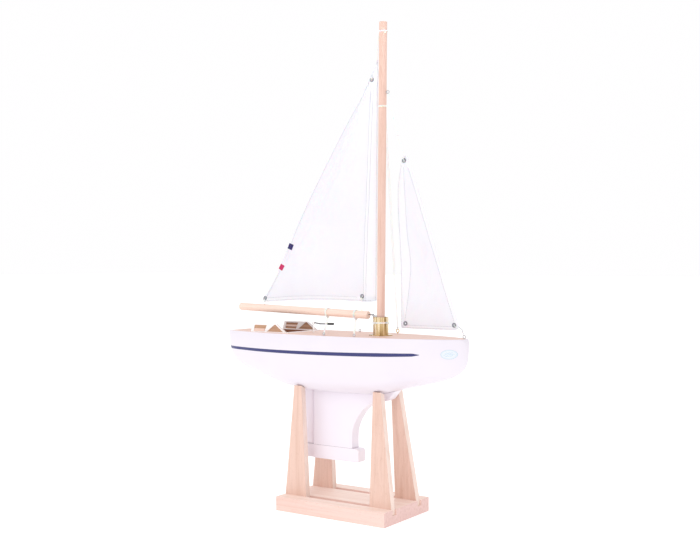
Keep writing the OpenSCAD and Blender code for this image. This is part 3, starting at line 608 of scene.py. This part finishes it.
# ---- sails -----------------------------------------------------------------
class Sail:
    """A sheet between four edge curves, in millimetres, x forward and z above the deck."""

    def __init__(self, foot, luff, leech, rows, cols):
        curves = []
        for points, count in ((foot, cols), (luff, rows), (leech, rows)):
            p = np.array([[x, 0, z + deck_z] for x, z in points], float)
            path = along(p, 1.0) / MM
            share = np.linspace(0, len(path) - 1, count + 1)
            curves.append(np.stack([np.interp(share, np.arange(len(path)), path[:, k])
                                    for k in range(3)], 1))
        bottom, right, left = curves
        u = np.linspace(0, 1, cols + 1)[None, :, None]
        v = np.linspace(0, 1, rows + 1)[:, None, None]
        top = left[-1] + (right[-1] - left[-1]) * u
        self.rest = ((1 - v) * bottom[None] + v * top + (1 - u) * left[:, None] + u * right[:, None]
                     - ((1 - u) * (1 - v) * bottom[0] + u * (1 - v) * bottom[-1]
                        + (1 - u) * v * left[-1] + u * v * right[-1]))
        self.rows, self.cols = rows, cols
        self.shape = self.rest.copy()

    def sample(self, grid, u, v):
        u, v = np.clip(u, 0, 1) * self.cols, np.clip(v, 0, 1) * self.rows
        i, j = min(int(v), self.rows - 1), min(int(u), self.cols - 1)
        s, t = v - i, u - j
        return ((1 - s) * (1 - t) * grid[i, j] + (1 - s) * t * grid[i, j + 1]
                + s * (1 - t) * grid[i + 1, j] + s * t * grid[i + 1, j + 1])

    def find(self, x, z):
        """(u, v) of a rest point, by Newton's method from the nearest grid point."""
        flat = (self.rest[..., 0] - x) ** 2 + (self.rest[..., 2] - z) ** 2
        i, j = np.unravel_index(np.argmin(flat), flat.shape)
        u, v, h = j / self.cols, i / self.rows, 1e-3
        best, miss = (u, v), math.inf
        for _ in range(12):
            here = self.sample(self.rest, u, v)
            if math.hypot(here[0] - x, here[2] - z) < miss:
                best, miss = (u, v), math.hypot(here[0] - x, here[2] - z)
            du = (self.sample(self.rest, u + h, v) - self.sample(self.rest, u - h, v))
            dv = (self.sample(self.rest, u, v + h) - self.sample(self.rest, u, v - h))
            wide = min(u + h, 1) - max(u - h, 0)
            tall = min(v + h, 1) - max(v - h, 0)
            jacobian = np.array([[du[0] / wide, dv[0] / tall], [du[2] / wide, dv[2] / tall]])
            try:
                move = np.linalg.solve(jacobian, [x - here[0], z - here[2]])
            except np.linalg.LinAlgError:
                break
            move = np.clip(move, -0.06, 0.06)
            u, v = np.clip(u + move[0], 0, 1), np.clip(v + move[1], 0, 1)
        return best

    def normals(self):
        across = np.gradient(self.shape, axis=1)
        up = np.gradient(self.shape, axis=0)
        n = np.cross(up, across)
        length = np.linalg.norm(n, axis=2, keepdims=True)
        n = np.where(length > 1e-9, n / np.maximum(length, 1e-9), [0, 1, 0])
        return n * np.where(n[..., 1:2] < 0, -1, 1)

    def place(self, pairs):
        """Final positions and normals, in metres and unit length, for (u, v) pairs."""
        grid_n = self.normals()
        p = np.array([self.sample(self.shape, u, v) for u, v in pairs]) * MM
        n = np.array([self.sample(grid_n, u, v) for u, v in pairs])
        return p, n / np.linalg.norm(n, axis=1)[:, None]

    def simulate(self, name, pinned, breeze, slack):
        """Hangs the sheet by its pinned points in a light breeze and keeps the result."""
        count = (self.rows + 1) * (self.cols + 1)
        w = self.cols + 1
        faces = [(i * w + j, i * w + j + 1, (i + 1) * w + j + 1, (i + 1) * w + j)
                 for i in range(self.rows) for j in range(self.cols)]
        mesh = bpy.data.meshes.new(name)
        mesh.from_pydata([tuple(p) for p in self.rest.reshape(-1, 3) * MM * CLOTH_SCALE],
                         [], faces)
        obj = bpy.data.objects.new(name, mesh)
        scene.collection.objects.link(obj)
        group = obj.vertex_groups.new(name="pins")
        group.add([int(k) for k in np.flatnonzero(pinned.reshape(-1))], 1.0, "REPLACE")
        modifier = obj.modifiers.new("cloth", "CLOTH")
        settings = modifier.settings
        settings.quality = 5
        settings.mass = 0.15
        settings.tension_stiffness = settings.compression_stiffness = 18
        settings.shear_stiffness = 8
        settings.bending_stiffness = 0.4
        settings.air_damping = 3
        settings.vertex_group_mass = "pins"
        settings.shrink_min = -slack
        scene.gravity = (0, breeze, -3.0)
        modifier.point_cache.frame_start, modifier.point_cache.frame_end = 1, CLOTH_FRAMES
        for number in range(1, CLOTH_FRAMES + 1):
            scene.frame_set(number)
        done = obj.evaluated_get(bpy.context.evaluated_depsgraph_get()).to_mesh()
        co = np.zeros(count * 3)
        done.vertices.foreach_get("co", co)
        obj.to_mesh_clear()
        bpy.data.objects.remove(obj)
        scene.frame_set(1)
        scene.gravity = (0, 0, -9.81)
        moved = co.reshape(self.rest.shape) / MM / CLOTH_SCALE - self.rest
        moved[..., 1] = MAX_BELLY * np.tanh(moved[..., 1] / MAX_BELLY)
        for k in (0, 2):
            moved[..., k] = MAX_STRETCH * np.tanh(moved[..., k] / MAX_STRETCH)
        self.shape = self.rest + moved


CLOTH_SCALE = 3.0     # the cloth solver is steadier on a larger sheet
CLOTH_FRAMES = 36
MAX_BELLY = 9.0       # millimetres out of the sail's plane
MAX_STRETCH = 0.8     # millimetres within it
PIN_REACH = 5.5       # millimetres round an eyelet
CLOTH_HALF = 0.17     # half the cloth's thickness, in millimetres
EYELET_BORE = 2.1     # millimetres


def held_points(sail, eyes):
    """Grid points that stay where they are: round the eyelets and along the luff."""
    held = np.zeros(sail.rest.shape[:2], bool)
    held[:, -1] = True
    for x, z in eyes:
        held |= np.hypot(sail.rest[..., 0] - x, sail.rest[..., 2] - z - deck_z) < PIN_REACH
    return held


def crease(sail, start, end, depth, width, lean=0.0):
    """A soft crease between two points, deepest in the middle."""
    a, b = np.array(start, float), np.array(end, float)
    x, z = sail.rest[..., 0], sail.rest[..., 2] - deck_z
    d = (b - a) / np.linalg.norm(b - a)
    s = ((x - a[0]) * d[0] + (z - a[1]) * d[1]) / np.linalg.norm(b - a)
    off = (x - a[0]) * d[1] - (z - a[1]) * d[0] - lean * np.sin(np.pi * np.clip(s, 0, 1))
    fade = np.sin(np.pi * np.clip(s, 0, 1)) ** 0.8
    sail.shape[..., 1] += depth * fade * np.exp(-(off / width) ** 2)


def build_sail(name, sail, eyes, node, body):
    """The cloth itself: a thin closed sheet with its eyelet holes cut through."""
    grid, n = sail.shape * MM, sail.normals()
    verts, faces, _ = slab(grid, n, CLOTH_HALF * MM, CLOTH_HALF * MM)
    obj = piece(name, verts, faces, sail_white)
    for x, z in eyes:
        (p,), _ = sail.place([sail.find(x, z + deck_z)])
        cutter = bpy.data.meshes.new("cutter")
        shape = bmesh.new()
        bmesh.ops.create_cone(shape, segments=20, radius1=EYELET_BORE * MM,
                              radius2=EYELET_BORE * MM, depth=0.02, cap_ends=True)
        shape.to_mesh(cutter)
        shape.free()
        tool = bpy.data.objects.new("cutter", cutter)
        tool.location = p
        tool.rotation_euler = (math.pi / 2, 0, 0)
        scene.collection.objects.link(tool)
        cut = obj.modifiers.new("hole", "BOOLEAN")
        cut.operation, cut.solver, cut.object = "DIFFERENCE", "EXACT", tool
        bpy.context.view_layer.update()
        done = bpy.data.meshes.new_from_object(
            obj.evaluated_get(bpy.context.evaluated_depsgraph_get()))
        obj.modifiers.clear()
        obj.data = done
        bpy.data.objects.remove(tool)
    obj.data.name = name
    obj.data.polygons.foreach_set("use_smooth", [True] * len(obj.data.polygons))
    obj.data.set_sharp_from_angle(angle=PIECE_CREASE)
    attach(obj, body)
    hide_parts(node)
    return obj


def band(sail, inner, outer, half_mm, cols=4):
    """A sewn hem: a slab round the cloth between two lines of (u, v) pairs."""
    pairs = [(a[0] + (b[0] - a[0]) * t, a[1] + (b[1] - a[1]) * t)
             for a, b in zip(inner, outer) for t in np.linspace(0, 1, cols + 1)]
    p, n = sail.place(pairs)
    shape = (len(inner), cols + 1, 3)
    return slab(p.reshape(shape), n.reshape(shape), half_mm * MM, half_mm * MM)


def stitches(sail, line, height_mm, pitch=3.0, length=2.3, radius=0.2):
    """Rows of thread along a line of (u, v) pairs, on both faces of the cloth."""
    p, n = sail.place(line)
    travel = np.concatenate([[0], np.cumsum(np.linalg.norm(np.diff(p, axis=0), axis=1))]) / MM
    threads = []
    for centre in np.arange(pitch, travel[-1] - pitch, pitch):
        ends = [np.array([np.interp(centre + o, travel, p[:, k]) for k in range(3)])
                for o in (-length / 2, 0, length / 2)]
        normal = np.array([np.interp(centre, travel, n[:, k]) for k in range(3)])
        for side in (-1, 1):
            lift = (height_mm * MM, (height_mm + 0.14) * MM, height_mm * MM)
            path = np.array([e + normal * side * h for e, h in zip(ends, lift)])
            threads.append(tube(path, radius * MM, 5))
    return merge(threads)


def on_edge(edge, share):
    """(u, v) at a share of the way along the foot, leech or luff."""
    share = min(max(share, 0.0), 1.0)
    return {"foot": (share, 0.0), "leech": (0.0, share), "luff": (1.0, share)}[edge]


LINE_POINTS = 70      # on each hem and seam


def edge_line(sail, edge, inset, low=0.0, high=1.0):
    """(u, v) pairs a constant distance inside the leech, luff or foot."""
    pairs, step = [], 0.004
    for s in np.linspace(low, high, LINE_POINTS):
        here = on_edge(edge, s)
        p = sail.sample(sail.rest, *here)
        d = (sail.sample(sail.rest, *on_edge(edge, s + step))
             - sail.sample(sail.rest, *on_edge(edge, s - step)))
        d /= np.linalg.norm(d)
        inward = np.array([-d[2], 0, d[0]]) if edge != "leech" else np.array([d[2], 0, -d[0]])
        q = p + inward * inset
        pairs.append(here if inset == 0 else sail.find(q[0], q[2]))
    return pairs


def line_between(sail, points):
    """(u, v) pairs along a smooth line through points given as x and height above the deck."""
    path = along([[x, 0, z + deck_z] for x, z in points], 1.0) / MM
    share = np.linspace(0, len(path) - 1, LINE_POINTS)
    return [sail.find(np.interp(k, np.arange(len(path)), path[:, 0]),
                      np.interp(k, np.arange(len(path)), path[:, 2])) for k in share]


main_eyes = [(42, 451.5), (21.5, 68.3), (-199.5, 60.8)]
main = Sail(foot=[(-206.5, 57), (-195, 53.4), (-125, 58.3), (-44, 60.2), (14, 58.8),
                  (33, 58), (51.7, 60.5)],
            luff=[(51.7, 60.5), (53.4, 274), (55.2, 486)],
            leech=[(-206.5, 57), (-184, 87), (-153, 136), (-126, 188), (-96, 242), (-62, 298),
                   (-15, 374), (33, 450), (53, 486)],
            rows=84, cols=44)
jib_eyes = [(108.3, 305.5), (207, 22.9), (111.5, 22.9)]
jib = Sail(foot=[(101, 16.5), (106, 14.2), (160, 14), (209.5, 14.8), (214.6, 19.5)],
           luff=[(214.6, 19.5), (213, 31), (195.3, 82), (137, 252), (115, 313.6)],
           leech=[(101, 16.5), (96.4, 124.5), (90.6, 228.5), (92, 272), (103.8, 313.6)],
           rows=60, cols=26)

main.simulate("main_cloth", held_points(main, main_eyes), breeze=-0.35, slack=0.001)
jib.simulate("jib_cloth", held_points(jib, jib_eyes), breeze=0.5, slack=0.002)
crease(jib, (106, 300), (200, 40), -1.6, 9, 6)
crease(jib, (100, 260), (150, 60), 1.4, 12, -8)
crease(main, (38, 440), (-150, 90), 1.2, 22, 10)
crease(main, (20, 80), (-60, 240), -0.9, 18)

build_sail("sail_main", main, main_eyes, "mainsail", BOOM)
build_sail("sail_jib", jib, jib_eyes, "jib", JIB)

main_luff_line = line_between(main, [(22.5, 56), (23.6, 81), (27, 170), (32.1, 275),
                                     (39.9, 442), (48, 478)])
jib_leech_line = line_between(jib, [(110, 15), (111, 24), (117, 92), (118.5, 130),
                                    (111.5, 180), (108, 240), (108, 300)])


def dress(name, sail, body, hems, seams):
    """Hems and stitching: inner line, outer line and half thickness; seam line and height."""
    folds = [band(sail, inner, outer, half) for inner, outer, half in hems]
    piece(f"{name}_hems", *merge(folds), hem_white, body, "sail_cloth")
    rows = [stitches(sail, line, height) for line, height in seams]
    piece(f"{name}_stitching", *merge(rows), thread, body, "sail_cloth")


def level_with(line, edge):
    """Points of the leech or luff, level with those of a line."""
    return [on_edge(edge, v) for _, v in line]


dress("sail_main", main, BOOM,
      [(main_luff_line, level_with(main_luff_line, "luff"), 0.40),
       (edge_line(main, "leech", 4.6, high=0.985), edge_line(main, "leech", 0, high=0.985),
        0.34),
       (edge_line(main, "foot", 9.0), edge_line(main, "foot", 0), 0.46)],
      [(line_between(main, [(24, 60), (24.8, 81), (28.2, 170), (33.3, 275), (41, 442)]), 0.42),
       (line_between(main, [(29, 58), (29.8, 81), (33.6, 170), (38.8, 275), (46.4, 442)]), 0.42),
       (edge_line(main, "luff", 1.6), 0.42),
       (edge_line(main, "leech", 3.8, high=0.97), 0.36),
       (edge_line(main, "foot", 8.0, low=0.03, high=0.86), 0.48),
       (edge_line(main, "foot", 2.6, low=0.03, high=0.97), 0.48)])
dress("sail_jib", jib, JIB,
      [(jib_leech_line, level_with(jib_leech_line, "leech"), 0.40),
       (edge_line(jib, "luff", 7.4, high=0.985), edge_line(jib, "luff", 0, high=0.985), 0.34),
       (edge_line(jib, "foot", 6.8), edge_line(jib, "foot", 0), 0.46)],
      [(line_between(jib, [(109, 18), (116, 92), (117.3, 130), (110.2, 180), (106.8, 240),
                           (106.6, 296)]), 0.42),
       (edge_line(jib, "leech", 1.6, high=0.96), 0.42),
       (edge_line(jib, "luff", 6.8, high=0.95), 0.36),
       (edge_line(jib, "foot", 6.0, low=0.1, high=0.95), 0.48),
       (edge_line(jib, "foot", 1.8, low=0.04, high=0.96), 0.48)])


def leech_tag():
    """A folded ribbon sewn over the leech: dark blue end, white middle, red end."""
    low, high = main.find(-164, deck_z + 117)[1], main.find(-137.4, deck_z + 166)[1]
    v = np.linspace(high, low, 31)
    offsets = np.array([-0.9, -0.4, 0.2, 2.6, 5.2, 7.8])
    grid, normals = [], []
    for row, shift in zip(v, np.linspace(0.9, 0.0, len(v))):
        edge = main.sample(main.rest, 0, row)
        d = main.sample(main.rest, 0, row + 0.01) - main.sample(main.rest, 0, row - 0.01)
        inward = np.array([d[2], 0, -d[0]]) / np.linalg.norm(d)
        for o in offsets + shift:     # the first ones lie outside the cloth
            q = edge + inward * o
            (p,), (n,) = main.place([main.find(q[0], q[2]) if o > 0 else (0, row)])
            grid.append(p + inward * min(o, 0) * MM)
            normals.append(n)
    shape = (len(v), len(offsets), 3)
    half = np.array([0.25, 0.5, 0.62, 0.62, 0.62, 0.55]) * MM
    verts, faces, order = slab(np.array(grid).reshape(shape), np.array(normals).reshape(shape),
                               half, half)
    white_from, red_from = 6, 24
    rows = [(i >= white_from) + (i >= red_from) for i in order]
    colours = [cloth("ribbon_blue", (0.035, 0.03, 0.13), 0.4),
               cloth("ribbon_white", (0.84, 0.83, 0.88), 0.4),
               cloth("ribbon_red", (0.55, 0.03, 0.12), 0.4)]
    piece("leech_ribbon", verts, faces, colours, BOOM, "tag_fabric", ["leech_tag"], rows)


leech_tag()


# ---- cords -----------------------------------------------------------------
def coil(centre, radius, axis, turns, pitch, start=0.0):
    """Turns of cord round a bar through centre, along the x or z axis."""
    points = []
    for k in range(int(turns * 20) + 1):
        a = start + math.tau * k / 20
        drift = (k / 20 - turns / 2) * pitch
        c, s = radius * math.cos(a), radius * math.sin(a)
        if axis == "z":
            points.append((centre[0] + c, centre[1] + s, centre[2] + drift))
        else:
            points.append((centre[0] + drift, centre[1] + s, centre[2] + c))
    return points


SOCKET_CORD, WRAP_CORD, SHEET_CORD = 0.8, 0.75, 0.85     # radii in millimetres
STAY_CORD, TIE_CORD, THIN_CORD = 0.6, 0.55, 0.5

socket_low, socket_high = span("mast_socket")
socket_x = (socket_low[0] + socket_high[0]) / 2
socket_radius = 13.5
socket_cord_z = deck_z + 22.2
wrap_low, wrap_high = span("mast_wraps")
lower_wrap, upper_wrap = wrap_low[2] + 1.4, wrap_high[2] - 1.4

cord("cord_on_socket", [coil((socket_x, 0, socket_cord_z), socket_radius + 0.75, "z", 2, 1.5),
                        knot((socket_x - 5, -socket_radius - 1.6, socket_cord_z), 2.0)],
     SOCKET_CORD, BOAT, ["socket_cord"])
cord("cords_on_mast",
     [coil((mast_centre(z), 0, z), mast_radius + 0.72, "z", 2, 1.4, 1.0)
      for z in (lower_wrap, upper_wrap)]
     + [knot((mast_centre(lower_wrap) + 3, mast_radius + 1.3, lower_wrap - 1), 2.0),
        knot((mast_centre(upper_wrap) + 6.6, -3.8, upper_wrap - 1.6), 2.0)],
     WRAP_CORD, BOAT, ["mast_wraps"])

sheet_marks = (-54.0, 8.0)
cord("cords_on_boom",
     [coil((x, 0, boom_centre(x)), boom_radius + 0.7, "x", 3, 1.45, 2.0) for x in sheet_marks]
     + [knot((x, 1.0, boom_centre(x) - boom_radius - 1.5), 2.2) for x in sheet_marks],
     WRAP_CORD, BOOM, ["boom_wraps"])

ring_low, ring_high = span("deck_ring")
ring = np.array([(ring_low[0] + ring_high[0]) / 2, (ring_low[1] + ring_high[1]) / 2,
                 ring_high[2] - 0.5])
stay_top = np.array([mast_centre(lower_wrap), mast_radius + 0.9, lower_wrap - 1])
cord("mast_stay_cords",
     [[ring + [0.9 * s, 0, 0], (ring + stay_top) / 2 + [1.3 * s, 0, -1],
       stay_top + [1.6 * s, 0, 0]] for s in (-1, 1)]
     + [knot(ring + [0, -0.4, 2.2], 2.1)], STAY_CORD, BOAT, ["mast_stays"])

eyes_low, eyes_high = span("deck_eyes")
eye_xs = (-20.0, 44.0)
eye_y = eyes_low[1] + 0.7
eye_z = eyes_high[2] - 2.9
for label, eye_x, boom_x in zip(("aft", "fore"), eye_xs, sheet_marks):
    top = np.array([boom_x, 0, boom_centre(boom_x) - boom_radius - 1.2])
    foot = np.array([eye_x, eye_y, eye_z])
    legs = []
    for shift in (-1.1, 1.1):
        middle = (top + foot) / 2 + np.array([shift * 1.3, 0, -1.2])
        legs.append([foot + [shift * 0.5, 0, 0.4], middle, top + [shift, 0, 0]])
    legs.append(knot(foot * 0.72 + top * 0.28, 2.0))
    cord(f"boom_sheet_{label}", legs, SHEET_CORD, None,
         ["sheet_cords"] if label == "aft" else (), (BOAT, BOOM, foot * MM, top * MM))


def tie(eye):
    """A loop through an eyelet, down to the top of the boom under it."""
    x, z = eye[0], eye[1] + deck_z
    top = boom_centre(x - 1.6) + boom_radius
    flank = [(x, 1.4, z - 0.9), (x - 0.8, 1.9, (z + top) / 2), (x - 1.6, 1.5, top + 0.9)]
    return [(p[0], -p[1], p[2]) for p in flank] + [(x - 1.6, 0, top + 0.4)] + flank[::-1] + [
        (x, 0, z - 0.3)]


foot_eyes = main_eyes[1:]
ties = [laid_cord([tie(eye) for eye in foot_eyes], TIE_CORD, True),
        laid_cord([knot((x - 0.4, -2.5, z + deck_z - 4.2), 1.9) for x, z in foot_eyes], TIE_CORD)]
piece("sail_ties", *merge(ties), white_cord, BOOM, "cord", ["mainsail_ties"])

head = np.array([main_eyes[0][0], 0.0, main_eyes[0][1] + deck_z])
mast_point = np.array([mast_centre(upper_wrap) - mast_radius - 0.9, 0.0, upper_wrap - 1.2])
peak = np.array([53.4, 0.0, 487 + deck_z])
cord("mainsail_head_cord",
     [[mast_point + [0, 0.7 * s, 0], (mast_point + peak) / 2 + [-1.0, 0.9 * s, 0],
       peak + [-1.2, 1.2 * s, -3], (peak + head) / 2 + [-0.4, 1.3 * s, 0],
       head + [0.2, 1.5 * s, 1.4], head] for s in (-1, 1)],
     THIN_CORD, None, blend=(BOAT, BOOM, mast_point * MM, peak * MM))
cord("mainsail_head_knot", [knot(head + [0.6, -2.0, 3.2], 1.9)], THIN_CORD, BOOM)

mast_eye_low, mast_eye_high = span("mast_eye")
mast_eye = np.array([mast_eye_high[0] - 3.4, 0, (mast_eye_low[2] + mast_eye_high[2]) / 2])
jib_head = np.array([jib_eyes[0][0], 0.0, jib_eyes[0][1] + deck_z])
down = (jib_head - mast_eye) / np.linalg.norm(jib_head - mast_eye)
cord("jib_head_cords",
     [[mast_eye + down * 3.9 + [0, 0.5 * s, 0], (mast_eye + jib_head) / 2 + [-0.8, 1.0 * s, 0],
       jib_head + [-0.4, 1.7 * s, 2.0], jib_head] for s in (-1, 1)]
     + [knot(jib_head + [-0.9, -2.0, 4.4], 2.0), knot(mast_eye + down * 6.2, 1.9)],
     THIN_CORD, JIB, ["jib_head_line"])
bow_low, bow_high = span("bow_eye")
tack = np.array([jib_eyes[1][0], 0.0, jib_eyes[1][1] + deck_z])
bow_eye = np.array([(bow_low[0] + bow_high[0]) / 2, 0.0, bow_high[2]])
cord("jib_tack_cord",
     [[tack + [0, -1.3, -0.6], (tack + bow_eye) / 2 + [1.5, -1.7, 0.5],
       bow_eye + [-2.6, -0.9, 2.6], bow_eye + [-1.4, 0, 1.6], bow_eye + [-2.8, 0.9, 2.8],
       (tack + bow_eye) / 2 + [0.6, 1.6, -1], tack + [0, 1.3, -0.8]]], THIN_CORD, JIB)


# ---- stripe and emblem on the hull ----------------------------------------
hull_tree = BVHTree.FromObject(nodes["hull_shell"],
                               bpy.context.evaluated_depsgraph_get())


def on_hull(x, z, side):
    """Point and normal where a level ray from one side meets the hull."""
    hit, normal, _, _ = hull_tree.ray_cast(Vector((x * MM, side * 0.3, z * MM)),
                                           Vector((0, -side, 0)))
    return np.array(hit), np.array(normal)


def hull_patch(rows, side):
    """Grid of points and smoothed normals on the hull for rows of (x, z) pairs."""
    hits = [[on_hull(x, z, side) for x, z in row] for row in rows]
    p = np.array([[h[0] for h in row] for row in hits])
    n = np.array([[h[1] for h in row] for row in hits])
    for _ in range(6):
        n[1:-1] = (n[:-2] + 2 * n[1:-1] + n[2:]) / 4
    return p, n / np.linalg.norm(n, axis=2, keepdims=True)


SIDES = ((-1, "starboard"), (1, "port"))
STRIPE_BED, BADGE_BED = 0.35, 0.2     # depth into the hull's paint, in millimetres

hull_low, hull_high = span("hull_shell")
stripe_aft, stripe_fore = hull_low[0] + 0.5, hull_high[0] - 68.5
stripe_heights = np.polyfit([stripe_aft, 92, stripe_fore],
                            [deck_z - 31.8, deck_z - 28.5, deck_z - 26.3], 2)
stripe_paint = paint("stripe_blue", (0.022, 0.026, 0.145), 0.42, (1, 4, 2))
stripe_row = np.array([-1.0, -0.8, -0.4, 0.0, 0.4, 0.8, 1.0])
for side, label in SIDES:
    rows, proud = [], []
    for x in np.linspace(stripe_aft, stripe_fore, 150):
        centre = np.polyval(stripe_heights, x)
        half = np.interp(x, [stripe_aft, -120, 90, stripe_fore - 12, stripe_fore],
                         [2.5, 2.8, 3.2, 2.6, 0.35])
        rows.append([(x, centre + half * t) for t in stripe_row])
        proud.append((0.10 + 0.28 * (1 - stripe_row ** 2)) * MM)
    p, n = hull_patch(rows, side)
    verts, faces, _ = slab(p, n, np.array(proud), STRIPE_BED * MM)
    piece(f"stripe_{label}", verts, faces, stripe_paint, BOAT, "hull_paint")

pale_blue = paint("emblem_blue", (0.42, 0.60, 0.68), 0.4, (8, 1, 1))
emblem_white = paint("emblem_white", (0.76, 0.80, 0.87), 0.3, (2, 8, 1))
badge_x, badge_z, badge_wide, badge_tall = hull_high[0] - 23.2, deck_z - 24.9, 12.2, 7.9
badge_lean = math.radians(5)


def on_badge(along_it, up):
    """A place on the tilted emblem, as x and z."""
    c, s = math.cos(badge_lean), math.sin(badge_lean)
    return badge_x + along_it * c - up * s, badge_z + along_it * s + up * c


OVAL_POINTS = 96


def oval(scale):
    return [on_badge(badge_wide * scale * math.cos(a), badge_tall * scale * math.sin(a))
            for a in np.linspace(0, math.tau, OVAL_POINTS, endpoint=False)]


def badge_line(points, width, front, side):
    """A thin raised line on the hull through the given places."""
    rows = []
    for k, (x, z) in enumerate(points):
        a, b = points[max(k - 1, 0)], points[min(k + 1, len(points) - 1)]
        d = np.array([b[0] - a[0], b[1] - a[1]])
        d /= np.linalg.norm(d)
        rows.append([(x - d[1] * w, z + d[0] * w) for w in (-width / 2, 0, width / 2)])
    p, n = hull_patch(rows, side)
    return slab(p, n, front * MM, BADGE_BED * MM)


for side, label in SIDES:
    rings = [oval(s) for s in (0.02, 0.25, 0.5, 0.75, 0.96)]
    rows = list(zip(*rings))
    p, n = hull_patch(rows, side)
    verts, faces, _ = slab(p, n, 0.16 * MM, BADGE_BED * MM, ring=True)
    piece(f"emblem_field_{label}", verts, faces, emblem_white, BOAT, "hull_paint")
    lines = []
    for outer, inner, front in ((1.0, 0.955, 0.26), (0.87, 0.85, 0.24)):
        p, n = hull_patch(list(zip(oval(inner), oval(outer))), side)
        lines.append(slab(p, n, front * MM, BADGE_BED * MM, ring=True))
    for lift, reach in ((2.4, 5.6), (0.0, 8.0), (-2.4, 5.6)):
        wave = [on_badge(reach * t, lift + 0.55 * math.sin(t * 9.4))
                for t in np.linspace(-1, 1, 49)]
        lines.append(badge_line(wave, 0.45, 0.24, side))
    piece(f"emblem_lines_{label}", *merge(lines), pale_blue, BOAT, "hull_paint")


# painted shade: a dark strip stands for the shadow in the line where the fin is let into the
# ballast block
fin_points = [vertex.co for vertex in nodes["keel_fin"].data.vertices]
fin_foot = min(v.z for v in fin_points)
foot_points = [(v.x, v.y) for v in fin_points if v.z < fin_foot + MM]
outline = [foot_points[k] for k in convex_hull_2d(foot_points)]
centre_x = (min(x for x, _ in outline) + max(x for x, _ in outline)) / 2
seam_rise, seam_proud = 0.45 * MM, 0.12 * MM
verts = [(x + math.copysign(seam_proud, x - centre_x), y + math.copysign(seam_proud, y), z)
         for z in (fin_foot, fin_foot + seam_rise) for x, y in outline]
count = len(outline)
faces = [[k, (k + 1) % count, (k + 1) % count + count, k + count] for k in range(count)]
faces += [list(range(count)), list(range(count, 2 * count))]
piece("fin_seam_painted_shade", verts, faces, paint("seam_shadow", (0.34, 0.30, 0.36), 0.6), BOAT,
      "fin_paint")


# ---- studio ----------------------------------------------------------------
floor_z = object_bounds()[0][2]
floor_mesh = bpy.data.meshes.new("floor")
FLOOR_REACH = 30.0
floor_mesh.from_pydata([(x * FLOOR_REACH, y * FLOOR_REACH, floor_z)
                        for x, y in ((-1, -1), (1, -1), (1, 1), (-1, 1))], [], [(0, 1, 2, 3)])
floor = bpy.data.objects.new("floor", floor_mesh)
scene.collection.objects.link(floor)
g = Graph("floor_white")
tint = g.noise((900, 900, 900), 2, 0.5)
floor_mesh.materials.append(g.finish(g.mix(tint, (0.93, 0.93, 0.93), (0.95, 0.95, 0.95)), 0.75,
                                     Emission_Color=(1, 1, 1, 1), Emission_Strength=0.25))

world = bpy.data.worlds.new("studio")
world.use_nodes = True
world.node_tree.nodes["Background"].inputs["Color"].default_value = (1.0, 0.995, 1.0, 1)
world.node_tree.nodes["Background"].inputs["Strength"].default_value = 1.0
scene.world = world


def lamp(name, place, aim, size, power, colour=(1, 1, 1), spread=180):
    """A rectangular lamp at a place, turned towards its aim."""
    data = bpy.data.lights.new(name, "AREA")
    data.spread = math.radians(spread)
    data.shape, data.size, data.size_y = "RECTANGLE", size[0], size[1]
    data.energy, data.color = power, colour
    obj = bpy.data.objects.new(name, data)
    obj.location = place
    obj.rotation_euler = (Vector(aim) - Vector(place)).to_track_quat("-Z", "Y").to_euler()
    scene.collection.objects.link(obj)


middle = Vector((0, 0, 0.42))
lamp("key", (-0.9, -2.3, 1.9), middle, (1.6, 1.6), 7, (1, 0.99, 0.98))
lamp("fill", (2.6, -1.4, 1.1), middle, (1.8, 1.8), 1.5, (0.97, 0.98, 1))
lamp("top", (0.2, 0.4, 2.8), middle, (2.2, 2.2), 3)
lamp("low", (0.5, -1.6, 0.6), (0, 0, 0.08), (0.5, 0.3), 0.085, spread=32)
lamp("masthead", (0.3, -1.1, 1.4), (0.065, 0, 0.9), (0.2, 0.2), 0.05, spread=20)

scene.view_settings.view_transform = "Standard"
scene.view_settings.look = "None"

# the camera stands 34 degrees round from broadside, almost level with its target
camera_data = bpy.data.cameras.new("camera")
camera_data.sensor_width, camera_data.lens = 36.0, 53.49
camera = bpy.data.objects.new("camera", camera_data)
scene.collection.objects.link(camera)
azimuth, elevation, distance = math.radians(34.07), math.radians(0.67), 1.8694
target = Vector((-0.005, 0.0, 0.4236))
away = Vector((math.sin(azimuth) * math.cos(elevation),
               -math.cos(azimuth) * math.cos(elevation), math.sin(elevation)))
camera.location = target + away * distance
camera.rotation_euler = (-away).to_track_quat("-Z", "Y").to_euler()
scene.camera = camera
